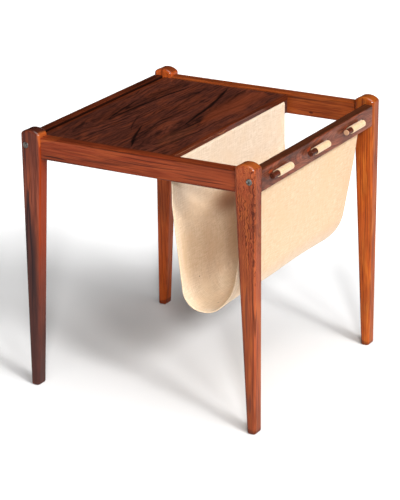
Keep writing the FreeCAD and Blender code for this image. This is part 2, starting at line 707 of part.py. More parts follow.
def ribbon_face(corners, roundings, thickness):
    """Make the face of a strip of cloth that follows rounded corners, seen edge on."""
    across = FreeCAD.Vector(0, 1, 0)
    runs = [(end - start).normalize() for start, end in zip(corners, corners[1:])]
    stations = [[(corners[0], runs[0])]]
    for corner, rounding, before, after in zip(corners[1:], roundings[1:], runs, runs[1:]):
        reach = rounding * math.tan(before.getAngle(after) / 2)
        middle = (before + after).normalize()
        centre = corner + (after - before).normalize() * math.hypot(rounding, reach)
        bend = corner + (centre - corner).normalize() * (math.hypot(rounding, reach) - rounding)
        start, end = corner - before * reach, corner + after * reach
        stations.append([(start, before), (bend, middle), (end, after)])
    stations.append([(corners[-1], runs[-1])])

    def side(offset):
        edges = []
        points = [[point + run.cross(across) * offset for point, run in bend] for bend in stations]
        for bend, following in zip(points, points[1:]):
            edges.append(Part.LineSegment(bend[-1], following[0]).toShape())
            if len(following) > 1:
                edges.append(Part.Arc(*following).toShape())
        return edges, points[0][0], points[-1][0]

    one, one_start, one_end = side(thickness / 2)
    other, other_start, other_end = side(-thickness / 2)
    caps = [Part.LineSegment(one_start, other_start), Part.LineSegment(one_end, other_end)]
    loose = one + other + [cap.toShape() for cap in caps]
    return Part.Face(Part.Wire(Part.__sortEdges__(loose)))


def make_sling(tack_bores):
    """Make the canvas sling and its three loops."""
    corners, roundings = sling_route()
    face = ribbon_face(corners, roundings, number("Sizes.canvas"))
    cloth = doc.addObject("Part::Feature", "sling_cloth")
    cloth.Shape = face.extrude(FreeCAD.Vector(0, number("Places.sling_width"), 0))
    place(cloth, y="Places.sling_front")
    keep("sling_canvas", cut("sling", cloth, tack_bores))
    for label, step in PEG_PLACES.items():
        keep(f"sling_loop_{label}", make_loop(label, step))


def make_loop(label, step):
    """Make one loop: a ring round its peg, a tongue through the slot and a lap on the sling."""
    y = f"{step} * Places.peg_pitch - Sizes.loop_shift - Sizes.loop_width / 2"
    width = "Sizes.loop_width"
    under = "Places.peg_z - Sizes.canvas"
    tongue = ("Places.peg_x - Places.loop_lap_x", width, "2 * Sizes.canvas")
    lap = ("Sizes.canvas", width, "Sizes.loop_lap")
    at = ("Places.peg_x", y, "Places.peg_z")
    pieces = [
        make_rod(f"ring_{label}", "y", "Places.loop_outer_radius", width, *at),
        make_box(f"tongue_{label}", *tongue, "Places.loop_lap_x", y, under),
        make_box(f"lap_{label}", *lap, "Places.loop_lap_x", y, "Places.loop_lap_bottom"),
    ]
    at = ("Places.peg_x", f"{y} - Sizes.overrun", "Places.peg_z")
    length = f"{width} + 2 * Sizes.overrun"
    eye = make_rod(f"eye_{label}", "y", "Places.loop_inner_radius", length, *at)
    return cut(f"loop_{label}", fuse(f"loop_{label}_blank", pieces), [eye])


def make_pegs():
    """Make the three round pegs, each standing out of the front of its loop."""
    for label, step in PEG_PLACES.items():
        body = doc.addObject("PartDesign::Body", f"peg_{label}_bar")
        sketch = attach_sketch(body, "XZ_Plane")
        circle = Part.Circle(FreeCAD.Vector(), FreeCAD.Vector(0, 0, 1), number("Places.peg_radius"))
        sketch.addGeometry(circle)
        sketch.addConstraint(Sketcher.Constraint("Coincident", 0, 3, -1, 1))
        hold(sketch, "Radius", (0,), "Places.peg_radius")
        bar = pad(body, sketch, "Sizes.peg_length", towards_back=True)
        round_edges(body, bar, lambda edge: edge.isClosed(), "Sizes.peg_rounding")
        start = f"{step} * Places.peg_pitch - Sizes.loop_shift - Sizes.loop_width / 2"
        place(body, "Places.peg_x", f"{start} - Sizes.peg_overhang", "Places.peg_z")
        keep(f"peg_{label}", body)


def write_parts():
    """Check every object and write each sub-part to its own file."""
    doc.recompute()
    for item in doc.Objects:
        if "Invalid" in item.State or "Error" in item.State:
            raise RuntimeError(f"{item.Name} failed: {item.State}")
    for node, item in nodes.items():
        if item.Shape.isNull() or not item.Shape.isValid() or not item.Shape.Solids:
            raise RuntimeError(f"{node} has no valid solid")
    os.makedirs("parts", exist_ok=True)
    for node, item in nodes.items():
        item.Shape.exportStep(os.path.join("parts", f"{node}.step"))
        print(node, len(item.Shape.Solids), round(item.Shape.Volume, 1))


make_sheet("Sizes", SIZES)
make_sheet("Places", PLACES)
make_frame()
make_pegs()
write_parts()
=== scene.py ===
"""Looks of a rosewood side table with a canvas magazine sling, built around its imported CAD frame.

The CAD pieces of wood and steel stay and get their finishes here. The cloth pieces, a sling and three
loops, are made here as meshes in place of their plain CAD solids. Sizes are in millimetres unless a
name says otherwise, and become metres where a mesh or a light is made.
"""

from __future__ import annotations

import logging
import math
from dataclasses import dataclass, field, replace
from enum import Enum
from typing import Iterable, Mapping, NamedTuple, Sequence

import bpy
import numpy as np
from mathutils import Matrix, Vector


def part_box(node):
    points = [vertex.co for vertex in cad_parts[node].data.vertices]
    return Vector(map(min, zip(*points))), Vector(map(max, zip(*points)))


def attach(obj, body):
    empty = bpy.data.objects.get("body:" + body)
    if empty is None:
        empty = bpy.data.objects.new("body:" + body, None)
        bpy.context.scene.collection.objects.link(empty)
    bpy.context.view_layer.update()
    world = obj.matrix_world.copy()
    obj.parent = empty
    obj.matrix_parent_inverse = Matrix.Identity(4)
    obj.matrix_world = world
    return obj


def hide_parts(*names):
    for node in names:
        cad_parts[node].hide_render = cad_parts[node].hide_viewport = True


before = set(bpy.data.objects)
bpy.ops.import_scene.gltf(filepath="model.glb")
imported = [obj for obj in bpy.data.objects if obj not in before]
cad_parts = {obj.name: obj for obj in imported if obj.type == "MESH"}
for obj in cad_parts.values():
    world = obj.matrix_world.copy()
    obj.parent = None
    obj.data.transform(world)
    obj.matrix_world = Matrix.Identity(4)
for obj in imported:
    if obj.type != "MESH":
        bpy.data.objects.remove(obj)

LOG = logging.getLogger("magazine_table")
MM = 0.001
PHOTO_HEIGHT_PX = 500
SENSOR_MM = 36.0
LAMP_DISTANCE_M = 3.0

# Points on each rounded corner of a line, and the distance in millimetres at which points are one.
ARC_POINTS = 24
SAME_PLACE = 1e-6

# The cloth's map of its own threads: place along its length and across its width, in metres.
WEAVE = "weave"

# Places of a Mix node's colour sockets, which share their names with its number sockets.
MIX_FIRST = 6
MIX_SECOND = 7
MIX_RESULT = 2

# The setting with which a Map Range node eases in and out. The node's inputs are numbered here: 0 is the
# value, 1 and 2 are where it starts and ends, and 3 and 4 are what it gives there.
SMOOTH = {"interpolation_type": "SMOOTHSTEP"}

# A span below every piece, so that what comes in over it is there on the whole piece.
EVERYWHERE = (-1000.0, -999.0)

Colour = tuple[float, float, float, float]
Point2 = tuple[float, float]
Point3 = tuple[float, float, float]
Material = bpy.types.Material
Piece = bpy.types.Object
Socket = bpy.types.NodeSocket
Tree = bpy.types.NodeTree
Layer = tuple[Socket, str | Socket]


def to_linear(hex_colour: str) -> Colour:
    """Turn an sRGB hex colour into the linear colour that Blender's sockets take.

    Args:
        hex_colour: Six hex digits.

    Returns:
        Linear red, green, blue and an alpha of one.
    """
    channels = [int(hex_colour[i:i + 2], 16) / 255 for i in (0, 2, 4)]
    linear = [c / 12.92 if c <= 0.04045 else ((c + 0.055) / 1.055) ** 2.4 for c in channels]
    return linear[0], linear[1], linear[2], 1.0


def per_mm(size: float) -> float:
    """Give the texture scale, per metre, whose features are about size millimetres wide."""
    return 1 / (size * MM)


def add_node(
    tree: Tree, kind: str, links: Mapping | None = None, gives: int | str = 0, **settings: object
) -> Socket:
    """Add a shader node with its settings and links.

    Args:
        tree: The node tree that takes the node.
        kind: Blender's name for the type of node, without the word ShaderNode.
        links: For each input, the output socket that feeds it or its constant value.
        gives: The output that is handed back.
        settings: The node's own properties.

    Returns:
        The chosen output socket.
    """
    node = tree.nodes.new("ShaderNode" + kind)
    for name, value in settings.items():
        setattr(node, name, value)
    for key, value in (links or {}).items():
        if isinstance(value, Socket):
            tree.links.new(value, node.inputs[key])
        else:
            node.inputs[key].default_value = value
    return node.outputs[gives]


def start_material(name: str, constants: Mapping[str, object]) -> tuple[Material, Tree, bpy.types.Node]:
    """Start a material that has only its main shader.

    Args:
        name: The material's name.
        constants: The shader's settings that are the same all over the surface.

    Returns:
        The material, its node tree and its main shader.
    """
    material = bpy.data.materials.new(name)
    material.use_nodes = True
    tree = material.node_tree
    shader = next(node for node in tree.nodes if node.type == "BSDF_PRINCIPLED")
    for key, value in constants.items():
        shader.inputs[key].default_value = value
    return material, tree, shader


def paint(tree: Tree, ground: str | Socket, layers: Iterable[Layer], **settings: object) -> Socket:
    """Lay colours over one another.

    Args:
        tree: The material's node tree.
        ground: The lowest colour, as sRGB hex or from a node.
        layers: How much of each colour shows, and the colour as sRGB hex or from a node.
        settings: Properties of the nodes, such as their way of blending.

    Returns:
        The colour that is seen.
    """
    for share, tone in layers:
        under, over = (to_linear(c) if isinstance(c, str) else c for c in (ground, tone))
        pair = {0: share, MIX_FIRST: under, MIX_SECOND: over}
        ground = add_node(tree, "Mix", pair, MIX_RESULT, data_type="RGBA", **settings)
    return ground


def join_shader(shader: bpy.types.Node, colour: Socket, dulling: Mapping, relief: Mapping) -> None:
    """Join a finish to its main shader.

    Args:
        shader: The main shader.
        colour: The finish's colour.
        dulling: Inputs of the Map Range node that gives its roughness.
        relief: Inputs of the Bump node that gives its fine relief.
    """
    tree = shader.id_data
    roughness = add_node(tree, "MapRange", dulling)
    normal = add_node(tree, "Bump", relief)
    for name, value in (("Base Color", colour), ("Roughness", roughness), ("Normal", normal)):
        tree.links.new(value, shader.inputs[name])


def box_mm(node: str) -> tuple[np.ndarray, np.ndarray]:
    """Give a CAD node's lowest and highest corners in millimetres."""
    low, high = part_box(node)
    return np.array(low) / MM, np.array(high) / MM


def dress_node(node: str, material: Material) -> None:
    """Give every material slot of a CAD node one finish.

    Args:
        node: The CAD node's name.
        material: The finish that it takes.
    """
    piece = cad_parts[node]
    if not piece.material_slots:
        piece.data.materials.append(material)
    for slot in piece.material_slots:
        slot.link = "OBJECT"
        slot.material = material
    LOG.info("dressed %s in %s", node, material.name)


def mesh_piece(name: str, points: np.ndarray, faces: Sequence[Sequence[int]]) -> Piece:
    """Make a smooth-shaded mesh piece.

    Args:
        name: The piece's name.
        points: Its corners in millimetres.
        faces: The corners of each face, anticlockwise as seen from outside.

    Returns:
        The new piece, linked to the scene.
    """
    mesh = bpy.data.meshes.new(name)
    mesh.from_pydata((points * MM).tolist(), [], [list(map(int, face)) for face in faces])
    mesh.validate()
    mesh.shade_smooth()
    piece = bpy.data.objects.new(name, mesh)
    bpy.context.scene.collection.objects.link(piece)
    return piece


class GrainRun(Enum):
    """How a piece is cut: the axes across its face, through it and along its grain."""

    LEG = "XYZ"
    LONG_RAIL = "ZYX"
    SIDE_RAIL = "ZXY"
    PANEL = "XZY"


@dataclass(frozen=True)
class Vein:
    """A vein or patch, dark or pale, that bends through three places along and across the grain.

    The places are in millimetres from the middle of the piece. The vein is as wide as width, soft edges
    included, and narrows to its tips over the tapers, which are shares of its length from each end and
    greater than 0. Depth is how much of its colour shows, which is the wood's vein colour unless it has
    its own. The tip is the half width left at its ends, as a share of the width. The heart is the share
    of the half width that has the full colour, and the fade is the swelling by which it has its depth.
    """

    start: Point2
    middle: Point2
    end: Point2
    width: float
    depth: float = 0.9
    tapers: Point2 = (0.35, 0.35)
    colour: str = ""
    tip: float = 0.02
    heart: float = 0.2
    fade: float = 0.1

    def mask(self, tree: Tree, along: Socket, across: Socket) -> Socket:
        """Add the nodes that find this vein.

        Args:
            tree: The material's node tree.
            along: Distance along the grain in metres.
            across: Distance across the grain in metres.

        Returns:
            How much of the vein shows at each place, from 0 to its depth.
        """
        alongs, acrosses = np.array((self.start, self.middle, self.end)).T * MM
        bend, slope, base = (float(factor) for factor in np.polyfit(alongs, acrosses, 2))
        slant = add_node(tree, "Math", {0: along, 1: bend, 2: slope}, operation="MULTIPLY_ADD")
        line = add_node(tree, "Math", {0: along, 1: slant, 2: base}, operation="MULTIPLY_ADD")
        aside = add_node(tree, "Math", {0: across, 1: line}, operation="SUBTRACT")
        away = add_node(tree, "Math", {0: aside}, operation="ABSOLUTE")
        first, last = float(alongs.min()), float(alongs.max())
        into = first + (last - first) * self.tapers[0]
        out = last - (last - first) * self.tapers[1]
        begun = add_node(tree, "MapRange", {0: along, 1: first, 2: into}, **SMOOTH)
        ended = add_node(tree, "MapRange", {0: along, 1: last, 2: out}, **SMOOTH)
        swell = add_node(tree, "Math", {0: begun, 1: ended}, operation="MULTIPLY")
        wide = {0: swell, 3: self.tip * self.width * MM, 4: self.width * MM / 2}
        reach = add_node(tree, "MapRange", wide)
        share = add_node(tree, "Math", {0: away, 1: reach}, operation="DIVIDE")
        most = add_node(tree, "MapRange", {0: swell, 2: self.fade, 4: self.depth})
        return add_node(tree, "MapRange", {0: share, 1: self.heart, 2: 1.0, 3: most, 4: 0.0}, **SMOOTH)


@dataclass(frozen=True)
class FaceTint:
    """The tint of the faces that look along one axis, where a board shows another cut of its grain, and
    on the left rail's inner face as painted shade.

    It comes in over the span, which is in millimetres along the grain from the middle of the piece, and
    as a face turns to the axis, from one turn of its direction to the other.
    """

    axis: str
    colour: str
    depth: float = 0.6
    span: Point2 = EVERYWHERE
    turns: Point2 = (0.45, 0.9)


class Tones(NamedTuple):
    """The colours of a piece of rosewood, as sRGB hex."""

    light: str
    base: str
    dark: str
    vein: str
    glow: str


class RingLine(NamedTuple):
    """One set of growth rings: width of a ring, start of its wave, size of its gaps and its strength.

    All but the start are shares of the wood's own ring, line patch and ring depth.
    """

    width: float
    start: float
    patch: float
    strength: float


@dataclass(frozen=True)
class Rosewood:
    """Oiled rosewood, planed and polished.

    It gives the eye a warm red brown in long fibres, orange patches that seem to glow, growth rings that
    run as thin darker lines, dark pores and near-black veins, under a thin gloss of oil. Sizes are in
    millimetres: fibres and pores are really 0.2 to 0.5 mm wide, and are drawn coarser so that they show.
    A top gloss, where there is one, is the fuller gloss of upper faces and shoulders that hands polish.
    Edges are the noise values between which a feature comes in, turns are how far up a face looks, and
    the fibres' dulling is added to the roughness in dark and in light fibres.
    """

    grain: GrainRun
    tones: Tones
    seed: Point3 = (0.0, 0.0, 0.0)
    fibre: float = 2.6
    fibre_stretch: float = 24.0
    fibre_edges: Point2 = (0.36, 0.64)
    glow_patch: float = 9.0
    glow_stretch: float = 8.0
    glow_edges: Point2 = (0.47, 0.66)
    glow_depth: float = 0.5
    ring: float = 6.0
    ring_depth: float = 0.5
    ring_lines: tuple[RingLine, ...] = (RingLine(1.0, 0.1, 1.0, 1.0), RingLine(0.43, 0.3, 0.7, 0.7))
    piths: tuple[Point2, ...] = ((110.0, -70.0),)
    pith_tilt: float = 1.5
    pith_dive: float = 0.0
    line_patch: float = 13.0
    line_stretch: float = 9.0
    line_edges: Point2 = (0.36, 0.6)
    wave: float = 42.0
    wave_stretch: float = 5.0
    sway: float = 5.0
    ripple: float = 7.0
    ripple_stretch: float = 7.0
    ripple_sway: float = 0.8
    ripple_span: Point2 = EVERYWHERE
    pore: float = 2.0
    pore_stretch: float = 26.0
    pore_edges: Point2 = (0.56, 0.70)
    pore_depth: float = 0.5
    streak: float = 9.0
    streak_stretch: float = 22.0
    streak_edges: Point2 = (0.57, 0.70)
    streak_depth: float = 0.65
    drift: float = 90.0
    drift_stretch: float = 2.5
    drift_edges: Point2 = (0.4, 0.62)
    drift_depth: float = 0.5
    roughness: float = 0.40
    fibre_dulling: Point2 = (0.06, -0.05)
    relief: float = 0.15
    gloss: float = 0.16
    top_gloss: float = 0.0
    top_turns: Point2 = (0.15, 0.5)
    vein_sway: float = 1.0
    veins: tuple[Vein, ...] = ()
    face_tints: tuple[FaceTint, ...] = ()

    def make(self, node: str) -> Material:
        """Make this finish for one piece of wood, whose own axes start in its middle.

        Args:
            node: The piece's CAD node.

        Returns:
            The material.
        """
        constants = {
            "IOR": 1.5,
            "Specular IOR Level": 0.05,
            "Coat Weight": self.gloss,
            "Coat Roughness": 0.08,
        }
        material, tree, shader = start_material(f"oiled rosewood, {node}", constants)
        places = add_node(tree, "TexCoord").node.outputs
        low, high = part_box(node)
        start = {0: places["Object"], 1: (low + high) / 2}
        centred = add_node(tree, "VectorMath", start, operation="SUBTRACT")
        axes = add_node(tree, "SeparateXYZ", {0: centred}).node.outputs
        plank_axes = {target: axes[source] for target, source in zip("XYZ", self.grain.value)}
        along = plank_axes["Z"]
        plank = add_node(tree, "CombineXYZ", plank_axes)
        swayed = self._sway(tree, plank, along)
        seeded = add_node(tree, "VectorMath", {0: swayed, 1: self.seed}, operation="ADD")
        fibres, glows, drifts, pores, streaks = (
            self._drawn_noise(tree, seeded, *feature)
            for feature in (
                (self.fibre, self.fibre_stretch, self.fibre_edges),
                (self.glow_patch, self.glow_stretch, self.glow_edges, self.glow_depth),
                (self.drift, self.drift_stretch, self.drift_edges, self.drift_depth),
                (self.pore, self.pore_stretch, self.pore_edges, self.pore_depth),
                (self.streak, self.streak_stretch, self.streak_edges, self.streak_depth),
            )
        )
        tones = self.tones
        layers = [(fibres, tones.light), (glows, tones.glow), (self._rings(tree, swayed), tones.dark)]
        layers += [(drifts, tones.dark), (pores, tones.vein), (streaks, tones.vein)]
        layers += self._tinted_faces(tree, places["Normal"], along)
        layers += self._vein_masks(tree, plank, swayed)
        dark_fibre, light_fibre = self.fibre_dulling
        dulling = {0: fibres, 3: self.roughness + dark_fibre, 4: self.roughness + light_fibre}
        relief = {"Strength": 0.25, "Distance": self.relief * MM, "Height": fibres}
        join_shader(shader, paint(tree, tones.base, layers), dulling, relief)
        if self.top_gloss:
            upward = add_node(tree, "SeparateXYZ", {0: places["Normal"]}, "Z")
            aside, above = self.top_turns
            handled = {0: upward, 1: aside, 2: above, 3: self.gloss, 4: self.top_gloss}
            tree.links.new(add_node(tree, "MapRange", handled), shader.inputs["Coat Weight"])
        return material

    def _sway(self, tree: Tree, plank: Socket, along: Socket) -> Socket:
        """Bend the wood's axes, as grain wanders in a board.

        Args:
            tree: The material's node tree.
            plank: The wood's own axes, with the grain along the third.
            along: Distance along the grain, over which the ripples come in.

        Returns:
            The bent axes.
        """
        span = {0: along, 1: self.ripple_span[0] * MM, 2: self.ripple_span[1] * MM}
        rippled = add_node(tree, "MapRange", span, **SMOOTH)
        waves = (
            (self.wave, self.wave_stretch, self.sway, 1.0),
            (self.ripple, self.ripple_stretch, self.ripple_sway, rippled),
        )
        bent = plank
        for size, stretch, reach, strength in waves:
            drawn = {0: plank, 1: (1.0, 1.0, 1 / stretch), 2: self.seed}
            slow = add_node(tree, "VectorMath", drawn, operation="MULTIPLY_ADD")
            wander = {"Vector": slow, "Scale": per_mm(size), "Detail": 2.0, "Roughness": 0.45}
            wave = add_node(tree, "TexNoise", wander, "Color")
            level = {0: wave, 1: (0.5, 0.5, 0.5)}
            swing = add_node(tree, "VectorMath", level, operation="SUBTRACT")
            held = add_node(tree, "VectorMath", {0: swing, "Scale": strength}, operation="SCALE")
            push = {0: held, 1: (2 * reach * MM, 2 * reach * MM, 0.0), 2: bent}
            bent = add_node(tree, "VectorMath", push, operation="MULTIPLY_ADD")
        return bent

    def _drawn_noise(
        self, tree: Tree, axes: Socket, width: float, stretch: float, edges: Point2, depth: float = 1.0
    ) -> Socket:
        """Add a noise drawn out along the grain.

        Args:
            tree: The material's node tree.
            axes: The wood's axes.
            width: Width of a feature in millimetres.
            stretch: How many times longer than wide a feature is.
            edges: Noise values that become 0 and the depth.
            depth: The most that is given.

        Returns:
            The noise, from 0 to the depth.
        """
        scaled = {0: axes, 1: (1.0, 1.0, 1 / stretch)}
        drawn = add_node(tree, "VectorMath", scaled, operation="MULTIPLY")
        grain = {"Vector": drawn, "Scale": per_mm(width), "Detail": 3.0, "Roughness": 0.55}
        span = {0: add_node(tree, "TexNoise", grain), 1: edges[0], 2: edges[1], 4: depth}
        return add_node(tree, "MapRange", span, **SMOOTH)

    def _rings(self, tree: Tree, swayed: Socket) -> Socket:
        """Add the growth rings, each about the nearest of the wood's piths.

        A pith that dives through the board turns its rings into nested arches.

        Args:
            tree: The material's node tree.
            swayed: The bent axes.

        Returns:
            How dark the ring is at each place, from 0 to the ring depth.
        """
        turn = (math.radians(self.pith_dive), math.radians(self.pith_tilt), 0.0)
        leaned = add_node(tree, "Mapping", {"Vector": swayed, "Rotation": turn})
        radius = None
        for across, through in self.piths:
            spoke = {0: leaned, 1: (1.0, 1.0, 0.0), 2: (-across * MM, -through * MM, 0.0)}
            flat = add_node(tree, "VectorMath", spoke, operation="MULTIPLY_ADD")
            length = add_node(tree, "VectorMath", {0: flat}, "Value", operation="LENGTH")
            nearest = {0: length, 1: length if radius is None else radius}
            radius = add_node(tree, "Math", nearest, operation="MINIMUM")
        shown = None
        for line in self.ring_lines:
            winding = {0: radius, 1: math.tau * per_mm(self.ring * line.width), 2: line.start}
            phase = add_node(tree, "Math", winding, operation="MULTIPLY_ADD")
            swell = add_node(tree, "Math", {0: phase}, operation="SINE")
            span = {0: swell, 1: line.start, 2: 1.0, 4: self.ring_depth * line.strength}
            whole = add_node(tree, "MapRange", span, **SMOOTH)
            moved = add_node(tree, "VectorMath", {0: swayed, 1: (line.start,) * 3}, operation="ADD")
            gaps = self.line_patch * line.patch
            patches = self._drawn_noise(tree, moved, gaps, self.line_stretch, self.line_edges)
            broken = add_node(tree, "Math", {0: whole, 1: patches}, operation="MULTIPLY")
            darkest = {0: broken, 1: 0.0 if shown is None else shown}
            shown = add_node(tree, "Math", darkest, operation="MAXIMUM")
        return shown

    def _vein_masks(self, tree: Tree, plank: Socket, swayed: Socket) -> list[Layer]:
        """Find the wood's single veins, which sway with the grain by the vein sway's share.

        Args:
            tree: The material's node tree.
            plank: The wood's own axes.
            swayed: The bent axes.

        Returns:
            A mask and a colour for each vein.
        """
        # The colour sockets of a Mix node carry places just as well.
        between = {0: self.vein_sway, MIX_FIRST: plank, MIX_SECOND: swayed}
        bent = add_node(tree, "Mix", between, MIX_RESULT, data_type="RGBA")
        axes = add_node(tree, "SeparateXYZ", {0: bent}).node.outputs
        along, across = axes["Z"], axes["X"]
        return [(vein.mask(tree, along, across), vein.colour or self.tones.vein) for vein in self.veins]

    def _tinted_faces(self, tree: Tree, normal: Socket, along: Socket) -> list[Layer]:
        """Find the faces that have a tint of their own.

        Args:
            tree: The material's node tree.
            normal: The direction that each face looks in.
            along: Distance along the grain, over which a tint comes in.

        Returns:
            A mask and a colour for each tint.
        """
        looks = add_node(tree, "SeparateXYZ", {0: normal}).node.outputs
        tinted = []
        for tint in self.face_tints:
            span = {0: along, 1: tint.span[0] * MM, 2: tint.span[1] * MM, 4: tint.depth}
            most = add_node(tree, "MapRange", span, **SMOOTH)
            turned = {0: looks[tint.axis], 1: tint.turns[0], 2: tint.turns[1], 4: most}
            tinted.append((add_node(tree, "MapRange", turned, **SMOOTH), tint.colour))
        return tinted


# The end of a foot, darkened towards the floor as painted shade where the foot meets it.
FOOT_SHADE = Vein((-234, 0), (-229, 0), (-219, 0), 110, 0.6, (0.01, 0.8))

# The woods that pieces of one cut start from. The legs and rails at the back and left keep their tones.
LEG_WOOD = Rosewood(
    GrainRun.LEG,
    Tones("c85c24", "b24e1f", "7c3112", "44190d", "cf692a"),
    top_gloss=1.0,
    veins=(FOOT_SHADE,),
)
LONG_RAIL_WOOD = Rosewood(
    GrainRun.LONG_RAIL, Tones("96471f", "823a18", "5a240e", "33130a", "9c5023"), ring=5.0, sway=3.0
)
SIDE_RAIL_WOOD = Rosewood(
    GrainRun.SIDE_RAIL, Tones("5f2916", "481d0d", "2f1209", "1c0b07", "6a2c14"), ring=5.0, sway=4.0
)
LIPPING_WOOD = replace(
    SIDE_RAIL_WOOD, tones=Tones("642c18", "4e210f", "331309", "1a0a06", "6e2c14"), glow_depth=0.4
)
PEG_WOOD = replace(
    SIDE_RAIL_WOOD, tones=Tones("643322", "4c2317", "2f140d", "1a0b07", "7c3520"), ring=3.0
)

PANEL_VENEER = Rosewood(
    GrainRun.PANEL,
    tones=Tones("623224", "48241c", "23100d", "110807", "763821"),
    seed=(0.31, 0.12, 0.07),
    fibre=3.0,
    fibre_stretch=9.0,
    glow_patch=16.0,
    glow_stretch=4.0,
    ring=7.0,
    ring_depth=0.85,
    piths=((-85.0, -23.0), (58.0, -20.0)),
    pith_tilt=0.0,
    pith_dive=5.7,
    wave=46.0,
    wave_stretch=2.4,
    sway=10.0,
    ripple=14.0,
    ripple_stretch=2.4,
    ripple_sway=3.6,
    pore_depth=0.35,
    streak=10.0,
    streak_stretch=9.0,
    streak_depth=0.5,
    drift_depth=0.35,
    roughness=0.36,
    vein_sway=0.5,
    veins=(
        # Two broad dark bands.
        Vein((-130, -74), (20, -76), (203, -70), 46, 0.4, (0.4, 0.2)),
        Vein((-160, 64), (20, 58), (203, 50), 60, 0.4, (0.4, 0.2)),
        # Black lines that fork and run together towards the front.
        Vein((-80, -75), (0, -85), (95, -97), 6, 0.85, (0.3, 0.5)),
        Vein((-90, -76), (50, -66), (203, -45), 8, 0.9, (0.3, 0.3)),
        Vein((-30, -80), (80, -78), (203, -72), 5, 0.6, (0.3, 0.3)),
        Vein((-140, 62), (20, 48), (200, 10), 11, 0.92, (0.7, 0.15)),
        Vein((-140, 62), (20, 73), (203, 99), 8, 0.9, (0.4, 0.4)),
        Vein((-60, 60), (60, 58), (203, 46), 5, 0.6, (0.3, 0.3)),
        Vein((-195, 44), (-130, 16), (-60, -10), 9, 0.9, (0.3, 0.5)),
        Vein((-195, 34), (-120, 24), (-20, 18), 5, 0.7, (0.3, 0.5)),
        Vein((-120, 2), (-60, -30), (20, -44), 5, 0.65, (0.3, 0.6)),
        Vein((58, -108), (120, -112), (203, -114), 6, 0.7),
        Vein((-60, 8), (60, -10), (203, -26), 6, 0.6, (0.5, 0.3)),
        Vein((-190, -40), (-60, -52), (80, -44), 5, 0.55),
        Vein((-202, 84), (-120, 92), (-20, 102), 6, 0.6, (0.2, 0.5)),
        # Two patches of redder, lighter wood.
        Vein((-40, 78), (110, 74), (203, 82), 70, 0.38, (0.5, 0.1), "8a4024"),
        Vein((-180, 74), (-92, 77), (-20, 72), 52, 0.2, (0.4, 0.5), "744028"),
    ),
)

